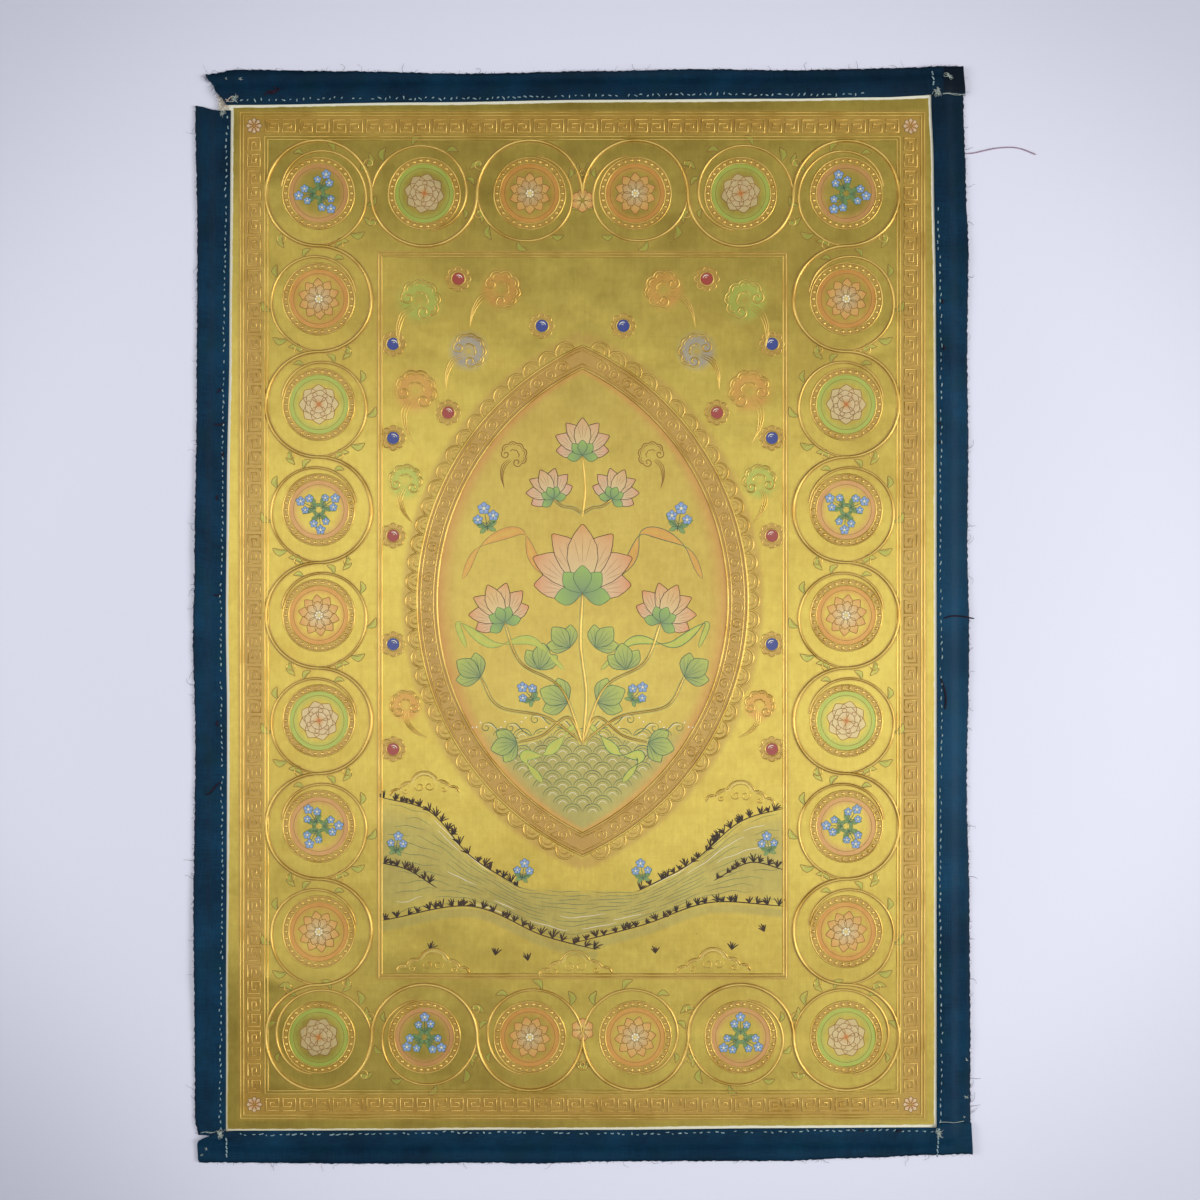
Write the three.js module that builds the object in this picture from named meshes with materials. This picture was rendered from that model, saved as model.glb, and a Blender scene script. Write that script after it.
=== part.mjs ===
// A thangka lying flat, face up: one painted canvas with four navy cloth strips sewn round it.
// Millimetres, +X to the picture's right, +Y to its top, +Z up from the surface that it lies on.
// Each cloth is a thin slab. It rests on z = 0, on the gentle swells of the canvas, or on the cloth below.
import * as THREE from "three";

// Thickness and fit of the cloths
const CANVAS_THICK = 1.2;
const STRIP_THICK = 1.1;
const LAYER_GAP = 0.35;
const TUCK = 6.5; // how far the canvas reaches under each strip
const HALF_HEIGHT = 283; // of the window that the strips leave, for finding places on the canvas
const OVERHANG = 1; // how far a strip stays level past the edge of what it lies on
const SLOPE = 5; // the width in which it then comes down
const HIDDEN_SHORT = 1.5; // what a covered strip's end stops short of the covering strip's edge

// Inner edges of the strips, which frame the picture: x or y of the edge at places along it
const INNER_LEFT = [
  { at: 281, edge: -193.3 },
  { at: 151, edge: -194.2 },
  { at: 69, edge: -195.5 },
  { at: -3, edge: -196.1 },
  { at: -58, edge: -195.5 },
  { at: -283, edge: -196.1 },
];
const INNER_RIGHT = [
  { at: 286, edge: 191.7 },
  { at: 245, edge: 193.1 },
  { at: 173, edge: 194.2 },
  { at: 74, edge: 194.7 },
  { at: -283, edge: 194.7 },
];
const INNER_TOP = [
  { at: -193, edge: 280.5 },
  { at: -89, edge: 282.0 },
  { at: 10, edge: 283.3 },
  { at: 109, edge: 284.0 },
  { at: 164, edge: 284.8 },
  { at: 192, edge: 285.9 },
];
const INNER_BOTTOM = [
  { at: -196, edge: -283.4 },
  { at: 10, edge: -282.8 },
  { at: 109, edge: -282.0 },
  { at: 193, edge: -281.6 },
  { at: 197, edge: -279.0 },
];

// Outer edges of the strips, raw and a little wavy
const OUTER_LEFT = [
  { at: 280, edge: -213.1 },
  { at: 212, edge: -212.0 },
  { at: 118, edge: -212.4 },
  { at: 30, edge: -213.3 },
  { at: -14, edge: -214.4 },
  { at: -66, edge: -213.1 },
  { at: -162, edge: -214.0 },
  { at: -212, edge: -213.5 },
  { at: -276, edge: -213.4 },
  { at: -286, edge: -211.6 },
];
const OUTER_RIGHT = [
  { at: 302, edge: 208.6 },
  { at: 286, edge: 209.6 },
  { at: 234, edge: 210.9 },
  { at: 201, edge: 212.2 },
  { at: 146, edge: 211.7 },
  { at: 91, edge: 212.3 },
  { at: 41, edge: 211.8 },
  { at: -14, edge: 212.6 },
  { at: -96, edge: 211.4 },
  { at: -157, edge: 212.9 },
  { at: -234, edge: 213.3 },
  { at: -296, edge: 213.6 },
];
const OUTER_TOP = [
  { at: -208, edge: 297.7 },
  { at: -189, edge: 300.3 },
  { at: -133, edge: 299.4 },
  { at: -62, edge: 298.1 },
  { at: 10, edge: 299.2 },
  { at: 70, edge: 300.5 },
  { at: 109, edge: 299.9 },
  { at: 209, edge: 301.8 },
];
const OUTER_BOTTOM = [
  { at: -211, edge: -301.2 },
  { at: -114, edge: -301.8 },
  { at: -56, edge: -301.0 },
  { at: -23, edge: -301.6 },
  { at: 15, edge: -300.5 },
  { at: 106, edge: -300.3 },
  { at: 153, edge: -298.4 },
  { at: 214, edge: -296.1 },
];

// Ends of the strips: how far along the end lies, from the inner edge (0) to the outer edge (1)
const TOP_STRIP_TORN_END = [
  { at: 0, edge: -196.0 },
  { at: 0.5, edge: -202.2 },
  { at: 1, edge: -207.6 },
];
const TOP_STRIP_RIGHT_END = [
  { at: 0, edge: 210.4 },
  { at: 1, edge: 209.3 },
];
const BOTTOM_STRIP_LEFT_END = [
  { at: 0, edge: -201.5 },
  { at: 0.38, edge: -212.0 },
  { at: 0.9, edge: -211.6 },
  { at: 1, edge: -210.9 },
];
const BOTTOM_STRIP_RIGHT_END = [
  { at: 0, edge: 213.7 },
  { at: 1, edge: 214.4 },
];
const LEFT_STRIP_TOP_END = [
  { at: 0, edge: 277.4 },
  { at: 0.25, edge: 277.0 },
  { at: 1, edge: 280.3 },
];
const LEFT_STRIP_BOTTOM = -286;
const RIGHT_STRIP_MIDDLE = 202; // the x at which its hidden ends are measured

// Gentle swells where the canvas doesn't lie quite flat: centre, half sizes, turn and height
const SWELLS = [
  { x: -160, y: 235, long: 95, wide: 48, turn: -32, height: 1.0 },
  { x: -178, y: 48, long: 110, wide: 42, turn: 86, height: 0.8 },
  { x: 176, y: 175, long: 105, wide: 44, turn: 95, height: 0.9 },
  { x: 172, y: -85, long: 120, wide: 46, turn: 84, height: 0.8 },
  { x: -165, y: -205, long: 80, wide: 44, turn: -28, height: 1.0 },
  { x: 40, y: -262, long: 120, wide: 42, turn: 4, height: 0.7 },
  { x: 30, y: 262, long: 120, wide: 42, turn: -3, height: 0.8 },
];

// Where the outer edge of a strip lifts off the surface, in waves along it that die out near its ends
const EDGE_LIFT = 0.8;
const EDGE_WAVE = 230;
const CALM_END = 30;
const CALM_FADE = 40;

// How finely the slabs are faceted
const CANVAS_COLUMNS = 22;
const CANVAS_ROWS = 30;
const STRIP_STEP = 19;
const END_LENGTH = 22; // the finer stretch at each end of a strip
const END_STEPS = 11;

// The one long loose thread, from the right strip's raw edge out over the surface
const THREAD_DIAMETER = 0.6;
const THREAD_SIDES = 8;
const THREAD_STEPS = 26;
const THREAD_POINTS = [
  { x: 211.4, y: 254.1 },
  { x: 213.9, y: 254.3 },
  { x: 216.5, y: 254.7 },
  { x: 219.1, y: 255.3 },
  { x: 221.7, y: 255.9 },
  { x: 224.3, y: 256.5 },
  { x: 226.9, y: 257.0 },
  { x: 229.6, y: 257.3 },
  { x: 232.3, y: 257.5 },
  { x: 235.0, y: 257.6 },
  { x: 237.7, y: 257.5 },
  { x: 240.3, y: 257.1 },
  { x: 242.8, y: 256.4 },
  { x: 245.2, y: 255.5 },
  { x: 247.6, y: 254.5 },
  { x: 249.4, y: 253.7 },
];

const paintedGold = new THREE.MeshStandardMaterial({ color: 0xc0a44e, roughness: 0.42, metalness: 0.25 });
const navyCloth = new THREE.MeshStandardMaterial({ color: 0x16303f, roughness: 0.9, metalness: 0 });
const purpleThread = new THREE.MeshStandardMaterial({ color: 0x8a6a7a, roughness: 0.85, metalness: 0 });

// The edge at one place along a table, with an easy curve from row to row
function edgeAt(table, at) {
  const rows = [...table].sort((a, b) => a.at - b.at);
  const last = rows.length - 1;
  if (at <= rows[0].at) {
    return rows[0].edge;
  }
  if (at >= rows[last].at) {
    return rows[last].edge;
  }
  const next = rows.findIndex((row) => row.at > at);
  const from = rows[next - 1];
  const to = rows[next];
  const share = THREE.MathUtils.smoothstep(at, from.at, to.at);
  return THREE.MathUtils.lerp(from.edge, to.edge, share);
}

// How far the canvas has swelled up off the surface at a place
function swellAt(x, y) {
  let rise = 0;
  for (const swell of SWELLS) {
    const turn = THREE.MathUtils.degToRad(swell.turn);
    const dx = x - swell.x;
    const dy = y - swell.y;
    const along = (dx * Math.cos(turn) + dy * Math.sin(turn)) / swell.long;
    const across = (dy * Math.cos(turn) - dx * Math.sin(turn)) / swell.wide;
    const inside = Math.max(0, 1 - along * along - across * across);
    rise = Math.max(rise, swell.height * inside * inside);
  }
  return rise;
}

// 1 on a cloth and a little past its edge, and 0 where what lies over it has come down
function fadeOutside(distance) {
  return 1 - THREE.MathUtils.smoothstep(distance, OVERHANG, OVERHANG + SLOPE);
}

function distanceOutside(dx, dy) {
  return Math.hypot(Math.max(dx, 0), Math.max(dy, 0));
}

// What a cloth over the canvas is lifted by
function liftOverCanvas(x, y) {
  const left = edgeAt(INNER_LEFT, y) - TUCK;
  const right = edgeAt(INNER_RIGHT, y) + TUCK;
  const top = edgeAt(INNER_TOP, x) + TUCK;
  const bottom = edgeAt(INNER_BOTTOM, x) - TUCK;
  const outside = distanceOutside(Math.max(left - x, x - right), Math.max(bottom - y, y - top));
  return (CANVAS_THICK + LAYER_GAP) * fadeOutside(outside);
}

// What a cloth over the left or right strip is lifted by
function liftOverSideStrips(x, y) {
  const layer = liftOverCanvas(x, y) + STRIP_THICK + LAYER_GAP;
  const offLeft = distanceOutside(x - edgeAt(INNER_LEFT, y), LEFT_STRIP_BOTTOM - y);
  const offRight = Math.max(edgeAt(INNER_RIGHT, y) - x, 0);
  const overLeft = y < 0 ? layer * fadeOutside(offLeft) : 0;
  const overRight = layer * fadeOutside(offRight);
  return Math.max(overLeft, overRight);
}

// The top and bottom strips lie over the canvas and over the ends of the side strips
function liftOverBoth(x, y) {
  return Math.max(liftOverCanvas(x, y), liftOverSideStrips(x, y));
}

// A slab: a box whose facets follow the cloth. place gives x and y for shares from 0 to 1 of the box's
// length and width, and underside gives the height of the cloth's lower face there.
function slab(name, columns, rows, thick, material, place, underside) {
  const geometry = new THREE.BoxGeometry(1, 1, 1, columns, rows, 1);
  const position = geometry.attributes.position;
  for (let i = 0; i < position.count; i += 1) {
    const spot = place(position.getX(i) + 0.5, position.getY(i) + 0.5);
    const isTop = position.getZ(i) > 0;
    const low = underside(spot);
    position.setXYZ(i, spot.x, spot.y, isTop ? low + thick : low);
  }
  geometry.computeVertexNormals();
  const mesh = new THREE.Mesh(geometry, material);
  mesh.name = name;
  return mesh;
}

function canvasPanel() {
  const place = (u, v) => {
    const nearY = THREE.MathUtils.lerp(-HALF_HEIGHT, HALF_HEIGHT, v);
    const left = edgeAt(INNER_LEFT, nearY) - TUCK;
    const right = edgeAt(INNER_RIGHT, nearY) + TUCK;
    const x = THREE.MathUtils.lerp(left, right, u);
    const bottom = edgeAt(INNER_BOTTOM, x) - TUCK;
    const top = edgeAt(INNER_TOP, x) + TUCK;
    return { x, y: THREE.MathUtils.lerp(bottom, top, v) };
  };
  const underside = (spot) => swellAt(spot.x, spot.y);
  return slab("canvas_panel", CANVAS_COLUMNS, CANVAS_ROWS, CANVAS_THICK, paintedGold, place, underside);
}

// Lines along a strip: close together near its ends, where it crosses others, and wider between
function linesAlong(length) {
  const lines = [];
  for (let i = 0; i <= END_STEPS; i += 1) {
    lines.push((END_LENGTH * i) / END_STEPS);
  }
  const middle = length - 2 * END_LENGTH;
  const steps = Math.round(middle / STRIP_STEP);
  for (let i = 1; i < steps; i += 1) {
    lines.push(END_LENGTH + (middle * i) / steps);
  }
  for (let i = END_STEPS; i >= 0; i -= 1) {
    lines.push(length - (END_LENGTH * i) / END_STEPS);
  }
  return lines;
}

// Lines across a strip: level on the canvas, down over its edge, and on to the strip's own outer edge
const SLOPE_LINES = 3;
const LINES_ACROSS = [0, TUCK * 0.2, TUCK * 0.4, TUCK * 0.6];
for (let i = 0; i <= SLOPE_LINES; i += 1) {
  LINES_ACROSS.push(TUCK + OVERHANG + (SLOPE * i) / SLOPE_LINES);
}

// One sewn strip. It runs along x or y, and out points from the picture to its outer edge.
function strip({ name, runs, out, inner, outer, low, high, length, underside, wavePhase }) {
  const along = linesAlong(length).map((line) => line / length);
  const columns = along.length - 1;
  const rows = LINES_ACROSS.length;
  const flipped = (runs === "x") !== (out > 0);
  const place = (u, v) => {
    const column = Math.round(u * columns);
    const share = along[flipped ? columns - column : column];
    const row = Math.round(v * rows);
    const nearAt = THREE.MathUtils.lerp(low(0), high(0), share);
    const width = Math.abs(edgeAt(outer, nearAt) - edgeAt(inner, nearAt));
    const across = row < rows ? Math.min(LINES_ACROSS[row], width) / width : 1;
    const at = THREE.MathUtils.lerp(low(across), high(across), share);
    const edge = THREE.MathUtils.lerp(edgeAt(inner, at), edgeAt(outer, at), across);
    const fromEnd = Math.min(share, 1 - share) * length;
    const wave = Math.max(0, Math.sin((2 * Math.PI * at) / EDGE_WAVE + wavePhase));
    const lively = THREE.MathUtils.smoothstep(fromEnd, CALM_END, CALM_END + CALM_FADE);
    const lift = row === rows ? EDGE_LIFT * wave * lively : 0;
    return runs === "x" ? { x: at, y: edge, lift } : { x: edge, y: at, lift };
  };
  const lowFace = (spot) => swellAt(spot.x, spot.y) + underside(spot.x, spot.y) + spot.lift;
  return slab(name, columns, rows, STRIP_THICK, navyCloth, place, lowFace);
}

function leftStrip() {
  return strip({
    name: "strip_left",
    runs: "y",
    out: -1,
    inner: INNER_LEFT,
    outer: OUTER_LEFT,
    low: () => LEFT_STRIP_BOTTOM,
    high: (across) => edgeAt(LEFT_STRIP_TOP_END, across),
    length: 564,
    underside: liftOverCanvas,
    wavePhase: 0.4,
  });
}

function rightStrip() {
  return strip({
    name: "strip_right",
    runs: "y",
    out: 1,
    inner: INNER_RIGHT,
    outer: OUTER_RIGHT,
    low: () => edgeAt(OUTER_BOTTOM, RIGHT_STRIP_MIDDLE) + HIDDEN_SHORT,
    high: () => edgeAt(OUTER_TOP, RIGHT_STRIP_MIDDLE) - HIDDEN_SHORT,
    length: 595,
    underside: liftOverCanvas,
    wavePhase: 2.1,
  });
}

function topStrip() {
  return strip({
    name: "strip_top",
    runs: "x",
    out: 1,
    inner: INNER_TOP,
    outer: OUTER_TOP,
    low: (across) => edgeAt(TOP_STRIP_TORN_END, across),
    high: (across) => edgeAt(TOP_STRIP_RIGHT_END, across),
    length: 410,
    underside: liftOverBoth,
    wavePhase: 1.2,
  });
}

function bottomStrip() {
  return strip({
    name: "strip_bottom",
    runs: "x",
    out: -1,
    inner: INNER_BOTTOM,
    outer: OUTER_BOTTOM,
    low: (across) => edgeAt(BOTTOM_STRIP_LEFT_END, across),
    high: (across) => edgeAt(BOTTOM_STRIP_RIGHT_END, across),
    length: 420,
    underside: liftOverBoth,
    wavePhase: 3.3,
  });
}

// The thread is a fine tube that lies on the surface
function looseThread() {
  const radius = THREAD_DIAMETER / 2;
  const lie = radius + 0.02;
  const route = THREAD_POINTS.map((point) => new THREE.Vector3(point.x, point.y, lie));
  const section = new THREE.Shape();
  for (let i = 0; i < THREAD_SIDES; i += 1) {
    const turn = (2 * Math.PI * (i + 0.5)) / THREAD_SIDES;
    const x = radius * Math.cos(turn);
    const y = radius * Math.sin(turn);
    if (i === 0) {
      section.moveTo(x, y);
    } else {
      section.lineTo(x, y);
    }
  }
  section.closePath();
  const geometry = new THREE.ExtrudeGeometry(section, {
    steps: THREAD_STEPS,
    extrudePath: new THREE.CatmullRomCurve3(route),
    bevelEnabled: false,
  });
  const mesh = new THREE.Mesh(geometry, purpleThread);
  mesh.name = "loose_thread";
  return mesh;
}

const thangka = new THREE.Group();
thangka.add(canvasPanel());
thangka.add(leftStrip());
thangka.add(rightStrip());
thangka.add(topStrip());
thangka.add(bottomStrip());
thangka.add(looseThread());

export default thangka;
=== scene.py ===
import math

import bpy
import numpy as np
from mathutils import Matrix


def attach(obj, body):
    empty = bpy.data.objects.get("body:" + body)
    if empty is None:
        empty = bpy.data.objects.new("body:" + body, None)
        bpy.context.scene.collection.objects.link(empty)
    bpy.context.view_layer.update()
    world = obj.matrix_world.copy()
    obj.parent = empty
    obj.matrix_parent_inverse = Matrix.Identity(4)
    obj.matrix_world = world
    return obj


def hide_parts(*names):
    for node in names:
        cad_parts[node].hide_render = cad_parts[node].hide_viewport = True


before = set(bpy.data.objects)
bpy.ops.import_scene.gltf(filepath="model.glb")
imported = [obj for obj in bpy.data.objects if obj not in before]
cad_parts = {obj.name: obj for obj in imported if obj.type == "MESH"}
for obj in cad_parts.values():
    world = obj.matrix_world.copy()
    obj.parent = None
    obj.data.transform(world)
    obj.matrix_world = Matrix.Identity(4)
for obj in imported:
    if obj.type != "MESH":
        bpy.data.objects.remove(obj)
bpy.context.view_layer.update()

MM = 0.001
chance = np.random.default_rng(11)


# The cloth's sizes in millimetres, as in the part's source
CANVAS_THICK = 1.2
STRIP_THICK = 1.1
LAYER_GAP = 0.35
TUCK = 6.5
HALF_HEIGHT = 283
OVERHANG = 1
SLOPE = 5
HIDDEN_SHORT = 1.5
EDGE_LIFT = 0.8
EDGE_WAVE = 230
CALM_END = 30
CALM_FADE = 40

# Edges of the strips: rows of place along the edge, and the edge there
INNER_LEFT = [(281, -193.3), (151, -194.2), (69, -195.5), (-3, -196.1), (-58, -195.5), (-283, -196.1)]
INNER_RIGHT = [(286, 191.7), (245, 193.1), (173, 194.2), (74, 194.7), (-283, 194.7)]
INNER_TOP = [(-193, 280.5), (-89, 282.0), (10, 283.3), (109, 284.0), (164, 284.8), (192, 285.9)]
INNER_BOTTOM = [(-196, -283.4), (10, -282.8), (109, -282.0), (193, -281.6), (197, -279.0)]
OUTER_LEFT = [
    (280, -213.1), (212, -212.0), (118, -212.4), (30, -213.3), (-14, -214.4),
    (-66, -213.1), (-162, -214.0), (-212, -213.5), (-276, -213.4), (-286, -211.6),
]
OUTER_RIGHT = [
    (302, 208.6), (286, 209.6), (234, 210.9), (201, 212.2), (146, 211.7), (91, 212.3),
    (41, 211.8), (-14, 212.6), (-96, 211.4), (-157, 212.9), (-234, 213.3), (-296, 213.6),
]
OUTER_TOP = [
    (-208, 297.7), (-189, 300.3), (-133, 299.4), (-62, 298.1),
    (10, 299.2), (70, 300.5), (109, 299.9), (209, 301.8),
]
OUTER_BOTTOM = [
    (-211, -301.2), (-114, -301.8), (-56, -301.0), (-23, -301.6),
    (15, -300.5), (106, -300.3), (153, -298.4), (214, -296.1),
]
TOP_TORN_END = [(0, -196.0), (0.5, -202.2), (1, -207.6)]
TOP_RIGHT_END = [(0, 210.4), (1, 209.3)]
BOTTOM_LEFT_END = [(0, -201.5), (0.38, -212.0), (0.9, -211.6), (1, -210.9)]
BOTTOM_RIGHT_END = [(0, 213.7), (1, 214.4)]
LEFT_TOP_END = [(0, 277.4), (0.25, 277.0), (1, 280.3)]
LEFT_STRIP_BOTTOM = -286
RIGHT_STRIP_MIDDLE = 202

# Swells of the canvas: centre x and y, half sizes along and across, turn and height
SWELLS = [
    (-160, 235, 95, 48, -32, 1.0),
    (-178, 48, 110, 42, 86, 0.8),
    (176, 175, 105, 44, 95, 0.9),
    (172, -85, 120, 46, 84, 0.8),
    (-165, -205, 80, 44, -28, 1.0),
    (40, -262, 120, 42, 4, 0.7),
    (30, 262, 120, 42, -3, 0.8),
]

# The loose thread, as in the part's source
THREAD_DIAMETER = 0.6
THREAD_POINTS = [
    (211.4, 254.1), (213.9, 254.3), (216.5, 254.7), (219.1, 255.3), (221.7, 255.9), (224.3, 256.5),
    (226.9, 257.0), (229.6, 257.3), (232.3, 257.5), (235.0, 257.6), (237.7, 257.5), (240.3, 257.1),
    (242.8, 256.4), (245.2, 255.5), (247.6, 254.5), (249.4, 253.7),
]

# The photograph's frame: its width on the surface, and where its middle lies
VIEW_WIDTH = 660
VIEW_MIDDLE = (9.6, 8.4)
LENS = 50
SENSOR = 36


def ease(value, low, high):
    """0 below low and 1 above high, with an easy curve between."""
    share = np.clip((np.asarray(value, float) - low) / (high - low), 0, 1)
    return share * share * (3 - 2 * share)


def edge_at(table, at):
    """The edge at each place along a table, with an easy curve from row to row."""
    rows = np.array(sorted(table), float)
    at = np.clip(np.asarray(at, float), rows[0, 0], rows[-1, 0])
    low = np.clip(np.searchsorted(rows[:, 0], at, side="right") - 1, 0, len(rows) - 2)
    share = (at - rows[low, 0]) / (rows[low + 1, 0] - rows[low, 0])
    share = share * share * (3 - 2 * share)
    return rows[low, 1] + (rows[low + 1, 1] - rows[low, 1]) * share


def swell_at(x, y):
    """How far the canvas has swelled up off the surface."""
    rise = np.zeros(np.broadcast(x, y).shape)
    for middle_x, middle_y, long, wide, turn, height in SWELLS:
        cosine, sine = math.cos(math.radians(turn)), math.sin(math.radians(turn))
        dx, dy = x - middle_x, y - middle_y
        along = (dx * cosine + dy * sine) / long
        across = (dy * cosine - dx * sine) / wide
        inside = np.clip(1 - along**2 - across**2, 0, None)
        rise = np.maximum(rise, height * inside**2)
    return rise


def fade_outside(distance):
    return 1 - ease(distance, OVERHANG, OVERHANG + SLOPE)


def distance_outside(dx, dy):
    return np.hypot(np.clip(dx, 0, None), np.clip(dy, 0, None))


def lift_over_canvas(x, y):
    """What a strip that lies over the canvas is lifted by."""
    left, right = edge_at(INNER_LEFT, y) - TUCK, edge_at(INNER_RIGHT, y) + TUCK
    top, bottom = edge_at(INNER_TOP, x) + TUCK, edge_at(INNER_BOTTOM, x) - TUCK
    outside = distance_outside(np.maximum(left - x, x - right), np.maximum(bottom - y, y - top))
    return (CANVAS_THICK + LAYER_GAP) * fade_outside(outside)


def lift_over_all(x, y):
    """What the top and bottom strips are lifted by, which also cross the side strips' ends."""
    canvas = lift_over_canvas(x, y)
    layer = canvas + STRIP_THICK + LAYER_GAP
    off_left = distance_outside(x - edge_at(INNER_LEFT, y), LEFT_STRIP_BOTTOM - y)
    off_right = np.clip(edge_at(INNER_RIGHT, y) - x, 0, None)
    over_left = np.where(y < 0, layer * fade_outside(off_left), 0)
    return np.maximum(canvas, np.maximum(over_left, layer * fade_outside(off_right)))


def margins_at(x, y):
    """How far inside the side strips, and the top and bottom strips, a place on the canvas lies."""
    sides = np.minimum(x - edge_at(INNER_LEFT, y), edge_at(INNER_RIGHT, y) - x)
    ends = np.minimum(edge_at(INNER_TOP, x) - y, y - edge_at(INNER_BOTTOM, x))
    return sides, ends


# Creases pressed into the painted face: middle x and y, half length, half width, turn and height
CREASES = [
    (-172, -201, 15, 5.0, -26, 0.26),
    (-166, -209, 12, 5.0, -20, -0.1),
    (-150, 262, 40, 9, -14, 0.22),
    (150, 214, 46, 10, 62, 0.2),
    (-120, -120, 60, 14, 78, 0.16),
    (96, -240, 50, 12, -8, 0.2),
    (165, 158, 34, 4.5, 32, 0.2),
    (152, 139, 28, 4.0, 28, -0.14),
    (-176, 192, 26, 6, -50, 0.22),
    (-60, 266, 30, 6, -10, 0.14),
    (122, -266, 40, 6, 6, 0.18),
    (178, -226, 22, 7, 60, 0.2),
    (-182, -96, 34, 6, 84, 0.16),
]


def face_at(x, y):
    """The height of the painted face, with its swells, fine ripples and creases."""
    x, y = np.asarray(x, float), np.asarray(y, float)
    fine = 0.1 * np.sin(x / 23 + 0.7 * np.sin(y / 41)) * np.sin(y / 31 + 0.5 * np.sin(x / 37))
    fine = fine + 0.05 * np.sin(x / 9.5 + y / 60) * np.sin(y / 13 - x / 80)
    slanted = np.sin((0.8 * x + 0.6 * y) / 7 + 1.3 * np.sin(y / 19))
    fine = fine + 0.04 * slanted * np.sin((0.5 * x - 0.87 * y) / 5.3 + 1.7 * np.sin(x / 23))
    fine = fine + 0.045 * np.sin(x / 9.1 + 2 * np.sin(y / 29)) * np.sin(y / 6.3 + 1.5 * np.sin(x / 31))
    for middle_x, middle_y, long, wide, turn, height in CREASES:
        cosine, sine = math.cos(math.radians(turn)), math.sin(math.radians(turn))
        dx, dy = x - middle_x, y - middle_y
        along, across = (dx * cosine + dy * sine) / long, (dy * cosine - dx * sine) / wide
        fine = fine + height * np.exp(-along**2 - across**2)
    return swell_at(x, y) + CANVAS_THICK + fine * ease(np.minimum(*margins_at(x, y)), 1, 14)


# Materials

def paint(red, green, blue):
    """A colour that is named in screen values from 0 to 255, as the shader's linear numbers."""
    parts = [c / 255 for c in (red, green, blue)]
    return tuple(c / 12.92 if c <= 0.04045 else ((c + 0.055) / 1.055) ** 2.4 for c in parts)


class Value:
    """A number in a material, so that shader maths is written as Python expressions."""

    def __init__(self, finish, socket):
        self.finish, self.socket = finish, socket

    def maths(self, operation, *others):
        node = self.finish.node("ShaderNodeMath", {"operation": operation}, dict(enumerate((self, *others))))
        return Value(self.finish, node.outputs[0])

    def __add__(self, other):
        return self.maths("ADD", other)

    def __mul__(self, other):
        return self.maths("MULTIPLY", other)

    def __rsub__(self, other):
        return (self * -1.0).maths("ADD", other)

    __radd__ = __add__

    def ease(self, low, high):
        """0 below low and 1 above high, with an easy curve between, or the other way round."""
        settings = {"interpolation_type": "SMOOTHSTEP"}
        inputs = {"Value": self, "From Min": low, "From Max": high}
        if low > high:
            inputs = {"Value": self, "From Min": high, "From Max": low, "To Min": 1.0, "To Max": 0.0}
        return Value(self.finish, self.finish.node("ShaderNodeMapRange", settings, inputs).outputs[0])


class Finish:
    """A material on one Principled shader."""

    def __init__(self, name, **constants):
        self.material = bpy.data.materials.new(name)
        self.material.use_nodes = True
        self.tree = self.material.node_tree
        self.shader = self.tree.nodes["Principled BSDF"]
        for socket, value in constants.items():
            self.feed(self.shader.inputs[socket.replace("_", " ")], value)

    def feed(self, socket, value):
        if isinstance(value, Value):
            self.tree.links.new(value.socket, socket)
        elif isinstance(value, bpy.types.NodeSocket):
            self.tree.links.new(value, socket)
        elif isinstance(value, tuple) and len(value) == 3 and socket.type == "RGBA":
            socket.default_value = (*value, 1.0)
        else:
            socket.default_value = value

    def node(self, kind, settings=None, inputs=None):
        made = self.tree.nodes.new(kind)
        for name, value in (settings or {}).items():
            setattr(made, name, value)
        for name, value in (inputs or {}).items():
            self.feed(made.inputs[name], value)
        return made

    def place(self):
        """Object coordinates as a vector socket."""
        return self.node("ShaderNodeTexCoord").outputs["Object"]

    def cloth_place(self):
        """Metres along and across a strip, from its own map."""
        return self.node("ShaderNodeUVMap", {"uv_map": "Cloth"}).outputs[0]

    def split(self, vector):
        parts = self.node("ShaderNodeSeparateXYZ", None, {0: vector}).outputs
        return [Value(self, part) for part in parts]

    def stretch(self, vector, scale):
        return self.node("ShaderNodeMapping", None, {"Vector": vector, "Scale": scale}).outputs[0]

    def noise(self, vector, scale, detail=2.0, roughness=0.5):
        inputs = {"Vector": vector, "Scale": scale, "Detail": detail, "Roughness": roughness}
        return Value(self, self.node("ShaderNodeTexNoise", None, inputs).outputs[0])

    def weave(self, vector, warp_scale, weft_scale):
        """Fine noise drawn out along the cloth's threads, for its warp and for its weft."""
        scales = ((*warp_scale, 1.0), (*weft_scale, 1.0))
        return [self.noise(self.stretch(vector, scale), 1.0, 1.0) for scale in scales]

    def mix(self, factor, first, second):
        node = self.node("ShaderNodeMix", {"data_type": "RGBA"}, {0: factor, 6: first, 7: second})
        return node.outputs[2]

    def attribute(self, name):
        return self.node("ShaderNodeAttribute", {"attribute_name": name})

    def bump(self, height, strength, distance):
        inputs = {"Height": height, "Strength": strength, "Distance": distance}
        self.feed(self.shader.inputs["Normal"], self.node("ShaderNodeBump", None, inputs).outputs[0])

    def colour(self, socket):
        self.feed(self.shader.inputs["Base Color"], socket)

    def roughness(self, value):
        self.feed(self.shader.inputs["Roughness"], value)


GOLD_METAL = 0.82
GOLD_BUMP = (0.16, 0.00025)  # strength, and depth in metres
VARNISH = {"Coat_Weight": 1.0, "Coat_Roughness": 0.32}
GOLD_DEEP = paint(186, 156, 47)
GOLD_BRIGHT = paint(216, 192, 78)
PRIMING = paint(232, 230, 206)


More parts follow.
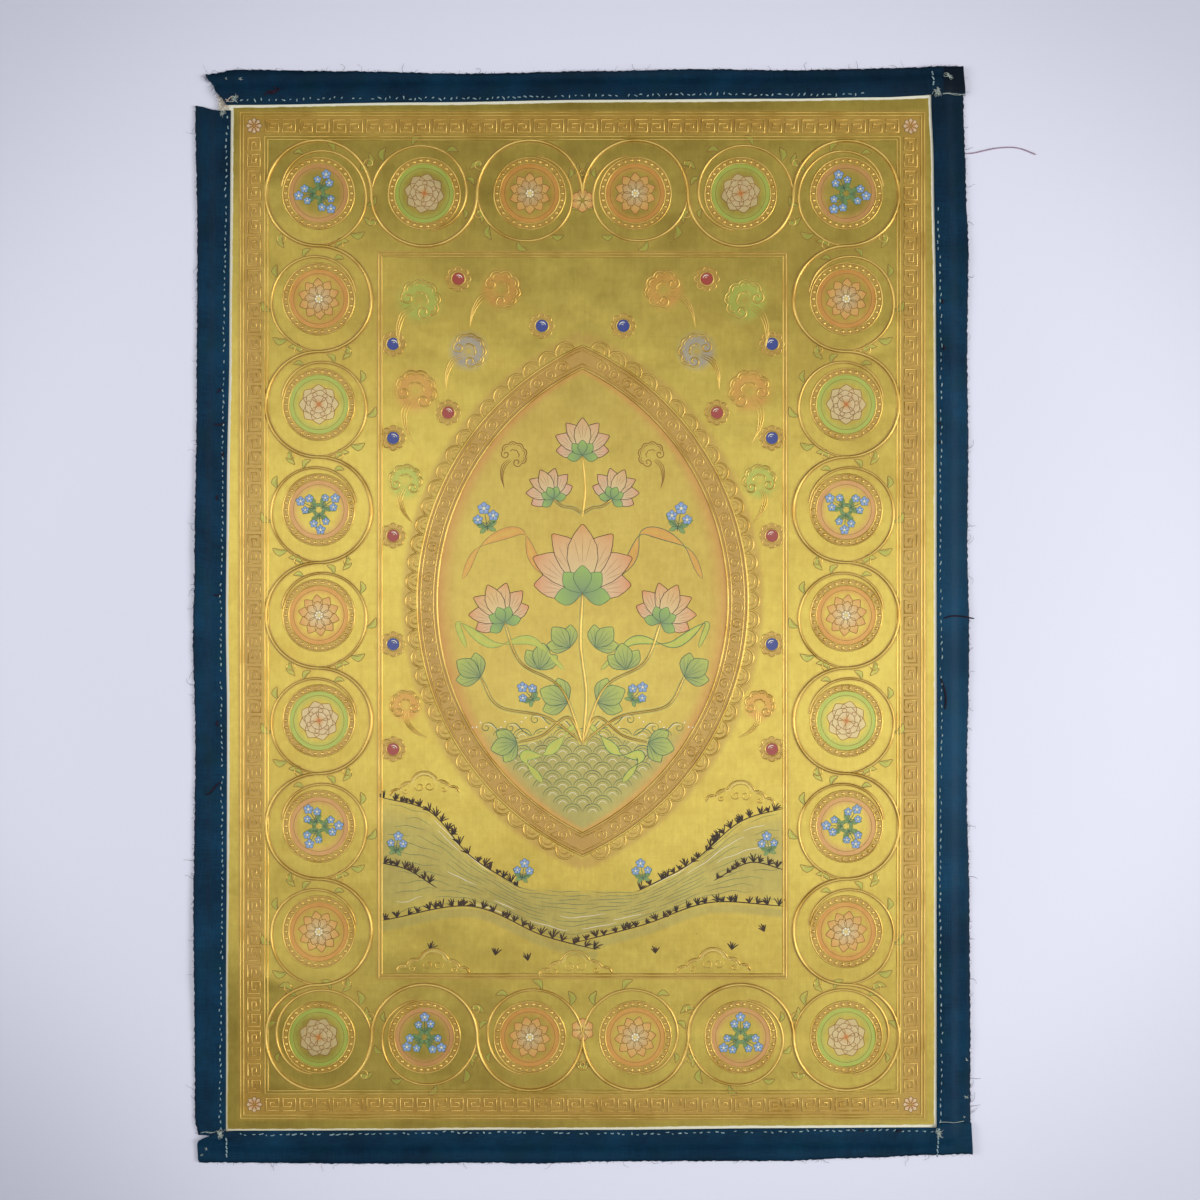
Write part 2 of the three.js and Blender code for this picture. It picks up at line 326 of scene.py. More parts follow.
def gold_ground(finish):
    """Gold paint brushed on cotton, in soft patches and dabs: its colour, roughness and height."""
    place = finish.place()
    patches = finish.noise(place, 9.0, 3.0, 0.5)
    mottle = finish.noise(place, 70.0, 3.0, 0.6)
    across = finish.noise(finish.stretch(place, (14.0, 90.0, 1.0)), 2.0, 3.0)
    warp, weft = finish.weave(place, (1100.0, 45.0), (45.0, 1300.0))
    specks = finish.noise(place, 900.0, 2.0, 0.7)
    dabs = finish.noise(finish.stretch(place, (300.0, 190.0, 1.0)), 1.0, 2.0, 0.6)
    slubs = warp * 0.65 + weft * 0.35
    tone = patches * 0.5 + mottle * 0.3 + across * 0.12 + slubs * 0.18 + specks * 0.08 + dabs * 0.28
    colour = finish.mix(tone.ease(0.49, 0.99), GOLD_DEEP, GOLD_BRIGHT)
    rough = 0.19 + specks * 0.04 + patches * 0.07 + mottle * 0.08 + across * 0.04
    height = slubs * 0.9 + specks * 0.2 + mottle * 2.2 + dabs * 0.8
    return colour, rough, height


def painted_canvas():
    """The canvas face: gold paint that stops short of the strips, and bare priming beyond it."""
    finish = Finish("painted_canvas", **VARNISH)
    colour, rough, height = gold_ground(finish)
    beside = Value(finish, finish.attribute("beside_sides").outputs["Fac"])
    margin = beside.maths("MINIMUM", Value(finish, finish.attribute("beside_ends").outputs["Fac"]))
    wander = finish.noise(finish.place(), 260.0, 3.0)
    x, y, _ = finish.split(finish.place())
    low_left = x.ease(0.12, -0.16) * y.ease(-0.06, -0.24)
    uneven = finish.noise(finish.place(), 11.0, 1.0).ease(0.35, 0.65)
    painted = (margin + wander * 0.9 + uneven * 0.25 + low_left * 0.45).ease(1.65, 2.25)
    bare = finish.mix(low_left * 0.6, PRIMING, paint(206, 196, 154))
    finish.colour(finish.mix(painted, bare, colour))
    finish.roughness(rough + (1 - painted) * 0.3)
    finish.feed(finish.shader.inputs["Metallic"], painted * GOLD_METAL)
    finish.bump(height, *GOLD_BUMP)
    return finish.material


def raw_canvas():
    finish = Finish("raw_canvas_back", Roughness=0.9)
    place = finish.place()
    warp, weft = finish.weave(place, (1300.0, 60.0), (60.0, 1300.0))
    stains = finish.noise(place, 14.0, 4.0)
    threads = warp * 0.5 + weft * 0.5
    finish.colour(finish.mix(threads * 0.5 + stains * 0.6, paint(176, 166, 140), paint(226, 220, 198)))
    finish.bump(threads, 0.6, 0.0003)
    return finish.material


def tinted_paint():
    """Colours painted over the gold: the tint's own colour, thinned by its strength into the ground."""
    finish = Finish("tinted_paint", **VARNISH)
    ground, rough, height = gold_ground(finish)
    tint = finish.attribute("tint")
    strength = Value(finish, tint.outputs["Alpha"])
    finish.colour(finish.mix(strength, ground, tint.outputs["Color"]))
    finish.roughness(rough + strength * 0.15)
    finish.feed(finish.shader.inputs["Metallic"], (1 - strength) * GOLD_METAL)
    finish.bump(height, *GOLD_BUMP)
    return finish.material


def drawn_line(name, dark, light, metallic, roughness):
    """A line of body colour or raised gold, a little uneven along its run."""
    finish = Finish(name, Metallic=metallic, Roughness=roughness)
    wear = finish.noise(finish.place(), 60.0, 3.0)
    finish.colour(finish.mix(wear.ease(0.25, 0.6), dark, light))
    finish.roughness(wear * 0.2 + (roughness - 0.1))
    finish.bump(finish.noise(finish.place(), 2200.0, 1.0), 0.12, 0.0001)
    return finish.material


def navy_cloth():
    """Plain woven cotton on a strip's own map, with the dark corner, a painted sheen in the right middle,
    and painted shade towards both ends and along the raw outer edge.
    """
    finish = Finish("navy_cloth", Specular_IOR_Level=0.1)
    map_place = finish.cloth_place()
    warp, weft = finish.weave(map_place, (120.0, 1700.0), (1700.0, 120.0))
    patches = finish.noise(finish.place(), 45.0, 3.0)
    threads = warp * 0.5 + weft * 0.5
    tone = threads * 0.7 + patches * 0.6
    cloth = finish.mix(tone.ease(0.3, 1.0), paint(2, 30, 50), paint(15, 66, 95))
    teal = finish.noise(finish.place(), 70.0, 2.0).ease(0.5, 0.7) * 0.4
    cloth = finish.mix(teal, cloth, paint(6, 52, 62))
    x, y, _ = finish.split(finish.place())
    # Lighter blue in the right strip's middle: a painted sheen.
    painted_sheen = x.ease(0.1, 0.2) * y.ease(-0.2, -0.08) * y.ease(0.15, 0.03) * 0.4
    cloth = finish.mix(painted_sheen, cloth, paint(34, 80, 108))
    worn = finish.noise(finish.place(), 16.0, 3.0).ease(0.42, 0.66) * 0.28
    # Darker towards both ends: painted shade, added to the random worn patches.
    ends = y.ease(0.12, 0.29) * 0.4 + y.ease(-0.18, -0.29) * 0.24
    cloth = finish.mix(worn + ends, cloth, paint(4, 20, 32))
    corner = x.ease(0.1965, 0.1995) * y.ease(0.286, 0.288) * 0.75
    # Darker along the outer edge: painted shade of the turned raw edge.
    raw = Value(finish, finish.attribute("painted_edge_shade").outputs["Fac"])
    dark = corner.maths("MAXIMUM", raw * 0.7)
    finish.colour(finish.mix(dark, cloth, paint(6, 10, 20)))
    finish.roughness(0.5 + threads * 0.15)
    finish.bump(threads + patches * 0.4, 0.7, 0.00035)
    return finish.material


def thread(name, dark, light):
    """Cotton thread with a fine twist."""
    finish = Finish(name, Roughness=0.85, Specular_IOR_Level=0.3)
    twist = finish.noise(finish.place(), 1600.0, 2.0)
    finish.colour(finish.mix(twist.ease(0.3, 0.7), dark, light))
    finish.bump(twist, 0.5, 0.0001)
    return finish.material


def plain_surface():
    finish = Finish("pale_surface", Roughness=0.6)
    place = finish.place()
    grain = finish.noise(place, 3.0, 2.0)
    pale = finish.mix(grain, paint(226, 227, 240), paint(232, 233, 245))
    x, y, _ = finish.split(place)
    # Darker away from the middle, and in the low left corner: painted shade where the lamps' light falls
    # off, and a painted shadow in the low left corner.
    away = (x * x + y * y).maths("SQRT")
    low_left = x.ease(-0.1, -0.34) * y.ease(-0.1, -0.34) * 0.3
    finish.colour(finish.mix(away.ease(0.3, 0.5) * 0.6 + low_left, pale, paint(184, 185, 198)))
    return finish.material


# Making pieces

def make_piece(obj, name, materials, replaces=()):
    """Names a finished piece, gives it its materials, hangs it on the root body, and hides the parts that it
    stands for.
    """
    obj.name = obj.data.name = name
    for number, material in enumerate(materials):
        if number < len(obj.data.materials):
            obj.data.materials[number] = material
        else:
            obj.data.materials.append(material)
    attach(obj, "root")
    if replaces:
        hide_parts(*replaces)


def pick(obj):
    bpy.ops.object.select_all(action="DESELECT")
    obj.select_set(True)
    bpy.context.view_layer.objects.active = obj


def new_piece(name, spots, faces):
    """A new picked object, from its points in millimetres and its faces."""
    mesh = bpy.data.meshes.new(name)
    mesh.from_pydata((spots * MM).tolist(), [], faces)
    obj = bpy.data.objects.new(name, mesh)
    bpy.context.collection.objects.link(obj)
    pick(obj)
    return obj


def face_outwards():
    """Turns the picked object's faces outwards."""
    bpy.ops.object.mode_set(mode="EDIT")
    bpy.ops.mesh.select_all(action="SELECT")
    bpy.ops.mesh.normals_make_consistent(inside=False)
    bpy.ops.object.mode_set(mode="OBJECT")


def point_places(obj):
    """Its points' places, in the mesh's own unit."""
    spots = np.empty(len(obj.data.vertices) * 3)
    obj.data.vertices.foreach_get("co", spots)
    return spots.reshape(-1, 3)


SHARP_ANGLE = 50


def slab(columns, rows, place):
    """A closed cloth. place gives x, y and z in millimetres for shares along and across, on both faces."""
    bpy.ops.object.select_all(action="DESELECT")
    bpy.ops.mesh.primitive_grid_add(x_subdivisions=columns, y_subdivisions=rows, size=1, location=(0, 0, 0))
    obj = bpy.context.object
    bpy.ops.object.mode_set(mode="EDIT")
    bpy.ops.mesh.select_all(action="SELECT")
    bpy.ops.mesh.extrude_region_move(TRANSFORM_OT_translate={"value": (0, 0, 1)})
    bpy.ops.object.mode_set(mode="OBJECT")
    spots = point_places(obj)
    x, y, z = place(spots[:, 0] + 0.5, spots[:, 1] + 0.5, spots[:, 2] > 0.5)
    obj.data.vertices.foreach_set("co", (np.column_stack([x, y, z]) * MM).ravel())
    face_outwards()
    bpy.ops.object.shade_smooth_by_angle(angle=math.radians(SHARP_ANGLE))
    return obj


def point_numbers(obj, name, numbers):
    """Keeps one number for each point, which the material reads."""
    layer = obj.data.attributes.new(name, "FLOAT", "POINT")
    layer.data.foreach_set("value", np.asarray(numbers, np.float32))


CANVAS_COLUMNS, CANVAS_ROWS = 150, 215


def make_canvas():
    def place(u, v, is_top):
        near_y = -HALF_HEIGHT + 2 * HALF_HEIGHT * v
        left, right = edge_at(INNER_LEFT, near_y) - TUCK, edge_at(INNER_RIGHT, near_y) + TUCK
        x = left + (right - left) * u
        bottom, top = edge_at(INNER_BOTTOM, x) - TUCK, edge_at(INNER_TOP, x) + TUCK
        y = bottom + (top - bottom) * v
        return x, y, np.where(is_top, face_at(x, y), swell_at(x, y))

    obj = slab(CANVAS_COLUMNS, CANVAS_ROWS, place)
    spots = point_places(obj) / MM
    sides, ends = margins_at(spots[:, 0], spots[:, 1])
    point_numbers(obj, "beside_sides", sides)
    point_numbers(obj, "beside_ends", ends)
    make_piece(obj, "painted_canvas", [painted_canvas(), raw_canvas()], ["canvas_panel"])
    for face in obj.data.polygons:
        face.material_index = 0 if face.normal.z > 0.5 else 1


STRIP_STEP = 2.0
STITCH_IN = 2.1  # how far outside its inner edge the stitches press a strip in
LINES_ACROSS = [0, 0.5, 1.2, 2.1, 3.0, 4.2, 5.6, 7.5, 8.6, 9.8, 11.0, 12.5, 14.0, 15.5]
LIVELY_FROM = 12.5  # how far out the edge starts to ripple
RIM = 0.6


class Strip:
    """One sewn strip. It runs along x or y, and its shares go from its low end to its high end and out."""

    def __init__(self, name, runs, out, inner, outer, low, high, length, underside, phase, flat):
        self.name, self.runs, self.out = name, runs, out
        self.inner, self.outer, self.low, self.high = inner, outer, low, high
        self.length, self.underside, self.phase, self.flat = length, underside, phase, flat

    def at_share(self, share):
        """The place along at a share of its inner edge, and the strip's width there."""
        near = self.low(np.zeros_like(share)) * (1 - share) + self.high(np.zeros_like(share)) * share
        return near, np.abs(edge_at(self.outer, near) - edge_at(self.inner, near))

    def spot(self, share, across):
        """x, y and height of the top face, at a share along and millimetres out from the inner edge."""
        _, width = self.at_share(share)
        part = np.clip(across / width, 0, 1)
        at = self.low(part) * (1 - share) + self.high(part) * share
        edge = edge_at(self.inner, at) * (1 - part) + edge_at(self.outer, at) * part
        x, y = (at, edge) if self.runs == "x" else (edge, at)
        return x, y, self.under(x, y, share, across, width) + self.thick(across, width)

    def under(self, x, y, share, across, width):
        from_end = np.minimum(share, 1 - share) * self.length
        at = x if self.runs == "x" else y
        wave = np.clip(np.sin(2 * math.pi * at / EDGE_WAVE + self.phase), 0, None)
        outer_part = np.clip((across - LIVELY_FROM) / np.maximum(width - LIVELY_FROM, 1), 0, 1)
        lively = ease(from_end, CALM_END, CALM_END + CALM_FADE)
        lift = EDGE_LIFT * wave * lively * outer_part
        fine = 0.16 * (1 + np.sin(at / 5.3 + 2 * np.sin(at / 17 + self.phase))) * outer_part * lively
        pressed = 0.25 * (1 - ease(across, 0, 2.5))
        return np.maximum(swell_at(x, y) + self.underside(x, y) - pressed + lift + fine, 0)

    def thick(self, across, width):
        rounded = 0.5 + 0.5 * ease(across, 0, 1.4)
        rim = 1 - 0.45 * ease(across, width - RIM, width)
        stitched = 0.28 * np.exp(-(((across - STITCH_IN) / 0.8) ** 2))
        return STRIP_THICK * rounded * rim - stitched

    def top_at(self, x, y):
        """The height of the top face at a place, down to the surface beyond the outer edge."""
        along, edge = (x, y) if self.runs == "x" else (y, x)
        inner = edge_at(self.inner, along)
        across, width = self.out * (edge - inner), np.abs(edge_at(self.outer, along) - inner)
        start, end = float(self.low(0.0)), float(self.high(0.0))
        share = np.clip((along - start) / (end - start), 0, 1)
        top = self.under(x, y, share, across, width) + self.thick(across, width)
        return np.maximum(top * (1 - ease(across, width, width + 2.5)), 0.02)

    def make(self, cloth):
        columns = round(self.length / STRIP_STEP)
        rows = len(LINES_ACROSS) + 1
        flipped = (self.runs == "x") != (self.out > 0)
        kept = {}

        def place(u, v, is_top):
            share = 1 - u if flipped else u
            near, width = self.at_share(share)
            row = np.round(v * rows).astype(int)
            lines = np.array([*LINES_ACROSS, 0, 0])
            across = np.where(row == rows, width, np.where(row == rows - 1, width - RIM, lines[row]))
            ragged = 0.22 * np.sin(near * 1.7 + self.phase) + 0.2 * np.sin(near * 0.61) * np.sin(near * 0.23)
            x, y, z = self.spot(share, across)
            z = np.where(is_top, z, self.under(x, y, share, across, width))
            push = np.where(row >= rows - 1, ragged, 0) * self.out
            if self.runs == "x":
                y = y + push
            else:
                x = x + push
            kept["along"], kept["across"], kept["rim"] = near, across, width - across
            return x, y, z

        obj = slab(columns, rows, place)
        # How near the outer edge each place lies, for the painted shade along it.
        point_numbers(obj, "painted_edge_shade", np.exp(-np.clip(kept["rim"], 0, None) / 0.7))
        corners = np.empty(len(obj.data.loops), int)
        obj.data.loops.foreach_get("vertex_index", corners)
        layer = obj.data.uv_layers.new(name="Cloth")
        pairs = np.column_stack([kept["along"], kept["across"]])[corners] * MM
        layer.data.foreach_set("uv", pairs.ravel())
        make_piece(obj, self.name, [cloth], [self.name.replace("_cloth", "")])


# The ends of strips, as functions of the share of the way from the inner to the outer edge

def constant(value):
    return lambda share: np.full(np.shape(share), float(value))


def slanted(table):
    return lambda share: edge_at(table, share)


STRIPS = {
    "left": Strip(
        "strip_left_cloth", runs="y", out=-1, inner=INNER_LEFT, outer=OUTER_LEFT,
        low=constant(LEFT_STRIP_BOTTOM), high=slanted(LEFT_TOP_END),
        length=564, underside=lift_over_canvas, phase=0.4, flat=(0.018, 0.565),
    ),
    "right": Strip(
        "strip_right_cloth", runs="y", out=1, inner=INNER_RIGHT, outer=OUTER_RIGHT,
        low=constant(edge_at(OUTER_BOTTOM, RIGHT_STRIP_MIDDLE) + HIDDEN_SHORT),
        high=constant(edge_at(OUTER_TOP, RIGHT_STRIP_MIDDLE) - HIDDEN_SHORT),
        length=595, underside=lift_over_canvas, phase=2.1, flat=(0.018, 0.595),
    ),
    "top": Strip(
        "strip_top_cloth", runs="x", out=1, inner=INNER_TOP, outer=OUTER_TOP,
        low=slanted(TOP_TORN_END), high=slanted(TOP_RIGHT_END),
        length=410, underside=lift_over_all, phase=1.2, flat=(0.017, 0.411),
    ),
    "bottom": Strip(
        "strip_bottom_cloth", runs="x", out=-1, inner=INNER_BOTTOM, outer=OUTER_BOTTOM,
        low=slanted(BOTTOM_LEFT_END), high=slanted(BOTTOM_RIGHT_END),
        length=420, underside=lift_over_all, phase=3.3, flat=(0.018, 0.42),
    ),
}


# The painting. Places on it are complex numbers, x + y * 1j, in millimetres

ORANGE = paint(220, 112, 44)
ROSE = paint(214, 122, 96)
LEAF_GREEN = paint(96, 168, 52)
SPRING_GREEN = paint(132, 196, 76)
TEAL = paint(52, 112, 96)
FLOWER_BLUE = paint(84, 124, 196)
PALE_BLUE = paint(172, 196, 224)
JEWEL_BLUE = paint(26, 50, 132)
JEWEL_RED = paint(158, 44, 16)
CHALK = paint(240, 236, 214)
OLD_GOLD = paint(158, 118, 42)
RUSSET = paint(172, 112, 36)
PALE_GOLD = paint(240, 216, 132)

FRAME_HALVES = (188.0, 276.5)  # the outer drawn frame, from the painting's middle
FRAME_GAP = 1.7
FRET_WIDTH = 11.0
FRET_UNITS = (38, 58)
FRET_CLEAR = 4.5  # how far the vine keeps from the fret
CURL_PITCH = 58.0
CURL_ROW = 2.5 * CURL_PITCH
CURL_COLUMN = 4 * CURL_PITCH
BRANCH_RADIUS = 20.5
HALO_RADIUS = 16.5
LOTUS_RADIUS = 11.5
PEONY_RADIUS = 11.0
FIELD_HALVES = (CURL_ROW - CURL_PITCH / 2 - 4, CURL_COLUMN - CURL_PITCH / 2 - 4)
LENS_MIDDLE = 8j
LENS_HALVES = (80.0, 128.0)
LENS_RADIUS = (LENS_HALVES[0] ** 2 + LENS_HALVES[1] ** 2) / (2 * LENS_HALVES[0])  # of each of its sides
LENS_BACK = LENS_RADIUS - LENS_HALVES[0]
LENS_BAND = 11.0

TINT_LIFT = 0.05
TINT_THICK = 0.14
LAYER_LIFT = 0.05
LINE_LIFT = 0.022
KEEL = 0.1
BEAD_LIFT = 0.08
BEAD_HEIGHT = 0.7  # as a share of its radius

# Names of the drawn strokes: their material, dark and light paint, metallic share and roughness
STROKES = {
    "gold": ("raised_gold", paint(204, 164, 70), paint(238, 206, 112), 0.6, 0.38),
    "fine": ("fine_outlines", paint(120, 84, 30), paint(152, 108, 40), 0.0, 0.5),
    "teal": ("teal_lines", paint(40, 80, 66), paint(84, 120, 78), 0.0, 0.5),
    "ink": ("brown_ink", paint(30, 18, 8), paint(64, 42, 18), 0.0, 0.5),
    "chalk": ("chalk_lines", paint(226, 222, 190), CHALK, 0.0, 0.55),
}


class Painting:
    """Tinted patches and drawn lines, kept until they are made into pieces."""

    def __init__(self):
        self.clear_patches()
        self.strokes, self.beads = {}, []
        self.both_sides = False

    def clear_patches(self):
        self.spots, self.layers, self.tints, self.faces, self.filled = [], [], [], [], 0

    def sides(self, places):
        return (places, -np.conj(places)) if self.both_sides else (places,)

    def line(self, name, places, width, taper=0.25, layer=0):
        """A line that thins out over a share of its run at both ends, drawn over one layer of patches."""
        share = np.linspace(0, 1, len(places))
        full = np.clip(np.minimum(share, 1 - share) / taper, 0, 1) if taper else np.ones(len(places))
        halves = width / 2 * (0.3 + 0.7 * np.sqrt(full))
        for side in self.sides(np.asarray(places)):
            self.strokes.setdefault(name, []).append((side, halves, layer))

    def fill(self, grid, tints, layer, closed=False):
        """A patch from a grid of places, with tints for its rows or its places. Closed joins its ends."""
        rows, columns = grid.shape
        shades = np.asarray(tints, float)
        shades = shades.reshape(-1, 4) if shades.ndim == 3 else np.repeat(shades, columns, axis=0)
        for side in self.sides(grid):
            numbers = np.arange(rows * columns).reshape(rows, columns) + self.filled
            if closed:
                numbers = np.column_stack([numbers, numbers[:, 0]])
            ring = (numbers[:-1, :-1], numbers[:-1, 1:], numbers[1:, 1:], numbers[1:, :-1])
            quads = np.stack(ring, -1).reshape(-1, 4)
            first, second = side[0, 1] - side[0, 0], side[1, 0] - side[0, 0]
            if (np.conj(first) * second).imag < 0:
                quads = quads[:, ::-1]
            self.faces.append(quads)
            self.spots.append(side.ravel())
            self.layers.append(np.full(rows * columns, float(layer)))
            self.tints.append(shades)
            self.filled += rows * columns

    def bead(self, place, radius):
        for side in self.sides(place):
            self.beads.append((side, radius))

    def make_beads(self, name, material):
        """Copies of one low dome, joined."""
        bpy.ops.object.select_all(action="DESELECT")
        bpy.ops.mesh.primitive_uv_sphere_add(segments=7, ring_count=5, radius=1, location=(0, 0, 0))
        pattern = bpy.context.object
        bpy.ops.object.mode_set(mode="EDIT")
        bpy.ops.mesh.select_all(action="SELECT")
        bpy.ops.mesh.bisect(plane_co=(0, 0, -0.25), plane_no=(0, 0, 1), use_fill=True, clear_inner=True)
        bpy.ops.object.mode_set(mode="OBJECT")
        dome = np.array([tuple(point.co) for point in pattern.data.vertices])
        rings = [list(face.vertices) for face in pattern.data.polygons]
        bpy.data.objects.remove(pattern)
        spots, faces = [], []
        for number, (place, radius) in enumerate(self.beads):
            foot = (place.real, place.imag, face_at(place.real, place.imag) + BEAD_LIFT)
            spots.append(dome * (radius, radius, radius * BEAD_HEIGHT) + foot)
            faces.extend([[index + number * len(dome) for index in ring] for ring in rings])
        obj = new_piece(name, np.concatenate(spots), faces)
        bpy.ops.object.shade_smooth()
        make_piece(obj, name, [material])

    def make_tints(self, name, material):
        """All patches so far, as one piece. The next ones start anew."""
        places = np.concatenate(self.spots)
        x, y = places.real, places.imag
        z = face_at(x, y) + TINT_LIFT + LAYER_LIFT * np.concatenate(self.layers)
        obj = new_piece(name, np.column_stack([x, y, z]), np.concatenate(self.faces).tolist())
        tint = obj.data.attributes.new("tint", "FLOAT_COLOR", "POINT")
        tint.data.foreach_set("color", np.concatenate(self.tints).astype(np.float32).ravel())
        self.clear_patches()
        solid = obj.modifiers.new("paint_thickness", "SOLIDIFY")
        solid.thickness, solid.offset = TINT_THICK * MM, -1
        bpy.ops.object.modifier_apply(modifier=solid.name)
        make_piece(obj, name, [material])

    def make_raised(self, name, stroke, material, sunk):
        """Round lines, sunk into the face by a share of their half width."""
        runs = []
        for places, halves, _ in self.strokes[stroke]:
            x, y = places.real, places.imag
            runs.append((np.column_stack([x, y, face_at(x, y) + halves * (1 - 2 * sunk)]), halves))
        make_piece(tubes(name, runs), name, [material])

    def make_flat(self, name, stroke):
        """Brushed lines: flat ribbons of paint with a sunk keel, each over its own layer of patches."""
        spots, faces, used = [], [], 0
        for places, halves, layer in self.strokes[stroke]:
            across = left_of(places) * halves
            top = face_at(places.real, places.imag) + TINT_LIFT + LAYER_LIFT * layer + LINE_LIFT
            for row, height in ((places + across, top), (places - across, top), (places, top - KEEL)):
                spots.append(np.column_stack([row.real, row.imag, height]))
            count = len(places)
            left, right, low = (np.arange(count) + used + count * k for k in range(3))
            for one, other in ((left, right), (right, low), (low, left)):
                faces.extend(np.column_stack([one[:-1], other[:-1], other[1:], one[1:]]).tolist())
            faces.append([left[0], low[0], right[0]])
            faces.append([left[-1], right[-1], low[-1]])
            used += 3 * count
        obj = new_piece(name, np.concatenate(spots), faces)
        face_outwards()
        make_piece(obj, name, [drawn_line(*STROKES[stroke])])


def tubes(name, runs, roundness=0):
    """One mesh of tubes with closed ends, from runs of places and half widths in millimetres."""
    curve = bpy.data.curves.new(name, "CURVE")
    curve.dimensions, curve.twist_mode = "3D", "Z_UP"
    curve.bevel_depth, curve.bevel_resolution, curve.use_fill_caps = MM, roundness, True
    for places, halves, *number in runs:
        spline = curve.splines.new("POLY")
        spline.material_index = number[0] if number else 0
        spline.points.add(len(places) - 1)
        spline.points.foreach_set("co", np.column_stack([places * MM, np.ones(len(places))]).ravel())
        spline.points.foreach_set("radius", np.broadcast_to(halves, len(places)).astype(float))
    for _ in range(1 + max(spline.material_index for spline in curve.splines)):
        curve.materials.append(None)
    obj = bpy.data.objects.new(name, curve)
    bpy.context.collection.objects.link(obj)
    pick(obj)
    bpy.ops.object.convert(target="MESH")
    obj = bpy.context.object
    bpy.ops.object.shade_smooth()
    return obj


def turn(degrees):
    return np.exp(1j * math.radians(degrees))


def unit(step):
    return step / abs(step)


def left_of(line):
    """A step of one millimetre to the left of a line, at each of its places."""
    heading = np.gradient(line)
    return 1j * heading / np.maximum(np.abs(heading), 1e-9)


def place_at(line, marks, at):
    """The place on a line where its marks reach a number."""
    return np.interp(at, marks, line.real) + 1j * np.interp(at, marks, line.imag)


def spiral(middle, start, end, angle, sweep, step=1.8):
    """A curl about a middle, from one radius to another, from an angle through a sweep in degrees."""
    count = max(5, round(abs(math.radians(sweep)) * (start + end) / 2 / step))
    share = np.linspace(0, 1, count + 1)
    return middle + (start + (end - start) * share) * np.exp(1j * np.radians(angle + sweep * share))


def arc(middle, radius, angle=0.0, sweep=360.0, step=1.8):
    return spiral(middle, radius, radius, angle, sweep, step)


def flow(*places, step=1.8):
    """A smooth line through a few places."""
    places = np.array(places, complex)
    ends = (2 * places[0] - places[1], 2 * places[-1] - places[-2])
    places = np.concatenate([[ends[0]], places, [ends[1]]])
    pieces = []
    for a, b, c, d in zip(places, places[1:], places[2:], places[3:]):
        t = np.linspace(0, 1, max(3, round(abs(c - b) / step)), endpoint=False)
        pieces.append(b + 0.5 * t * (c - a + t * (2 * a - 5 * b + 4 * c - d + t * (3 * (b - c) + d - a))))
    return np.concatenate([*pieces, [places[-2]]])


def straight(start, end, step=3.0):
    return np.linspace(start, end, max(2, round(abs(end - start) / step)))


def tinted(colour, strength):
    return (*colour, strength)


def petal(picture, base, tip, width, tints, layer, belly=0.75, bend=0.0, edge=("fine", 0.34)):
    """A petal or leaf from base to tip, belly under 1 widest past its middle, bent to one side."""
    long = abs(tip - base)
    along, across = (9, 5) if long > 12 else (7, 4) if long > 5 else (6, 3)
    share = (0.5 - 0.485 * np.cos(math.pi * np.linspace(0, 1, along)))[:, None]
    side = np.linspace(-1, 1, across)[None, :]
    axis = tip - base
    half = width / 2 * np.sin(math.pi * share ** (1 / belly)) ** 0.8 * (1.04 - 0.34 * share**5)
    spine = base + axis * share + 1j * axis * bend * np.sin(math.pi * share)
    grid = spine + 1j * axis / abs(axis) * half * side
    picture.fill(grid, np.linspace(*tints, along), layer)
    stroke, line_width = edge
    picture.line(stroke, np.concatenate([grid[:, 0], grid[::-1, -1]]), line_width, 0.1, layer)


def shade(picture, places, width, colour, strength, layer=0):
    """A band of colour with soft edges, laid below a line."""
    across = left_of(places) * width / 2
    grid = np.array([places + across * out for out in (-1, -0.4, 0.4, 1)])
    picture.fill(grid, [tinted(colour, strength * part) for part in (0, 0.95, 0.95, 0)], layer)


def disc(picture, middle, radius, tints, layer, inner=0.04):
    """A round patch, tinted from its middle to its rim."""
    rows = len(tints)
    radii = np.linspace(inner, 1, rows)[:, None] * radius
    angles = np.linspace(0, 2 * math.pi, max(12, round(radius * 2.4)), endpoint=False)[None, :]
    picture.fill(middle + radii * np.exp(1j * angles), tints, layer, closed=True)


HALO_BEADS = 30


def halo(picture, middle, radius, colour):
    """A soft ring of colour inside a ring of raised gold beads."""
    strengths = (0, 0.06, 0.2, 0.4, 0.5, 0.42)
    disc(picture, middle, radius, [tinted(colour, s) for s in strengths], 0, 0.6)
    shade(picture, arc(middle, radius + 1.9, step=2.8), 3.8, RUSSET, 0.5)
    picture.line("gold", arc(middle, radius), 0.7, 0)
    picture.line("gold", arc(middle, radius + 3.2), 0.8, 0)
    picture.line("fine", arc(middle, radius * 0.84), 0.24, 0)
    for number in range(HALO_BEADS):
        picture.bead(middle + (radius + 1.6) * turn(360 * number / HALO_BEADS), 0.95)


def rosette(picture, middle, radius, count, tints, layer, facing=90.0, plump=1.0):
    """An open flower seen from its front."""
    width = 2 * math.pi * radius / count * 0.8 * plump
    for number in range(count):
        out = turn(facing + 360 * number / count)
        base, tip = middle + out * radius * 0.15, middle + out * radius
        petal(picture, base, tip, width, tints, layer + number % 2 * 0.3, 0.8)


def open_lotus(picture, middle, radius, tip_colour, facing):
    """Two rings of petals round a chalk and gold heart."""
    outer = (tinted(PALE_GOLD, 0.4), tinted(tip_colour, 0.7))
    inner = (tinted(CHALK, 0.35), tinted(tip_colour, 0.5))
    rosette(picture, middle, radius, 10, outer, 1, facing)
    rosette(picture, middle, radius * 0.68, 8, inner, 2, facing + 18)
    disc(picture, middle, radius * 0.24, [tinted(PALE_GOLD, 0.9), tinted(OLD_GOLD, 0.9)], 3)
    for number in range(7):
        dot = middle + radius * 0.15 * turn(360 * number / 7)
        disc(picture, dot, radius * 0.045, [tinted(CHALK, 1), tinted(CHALK, 1)], 4)


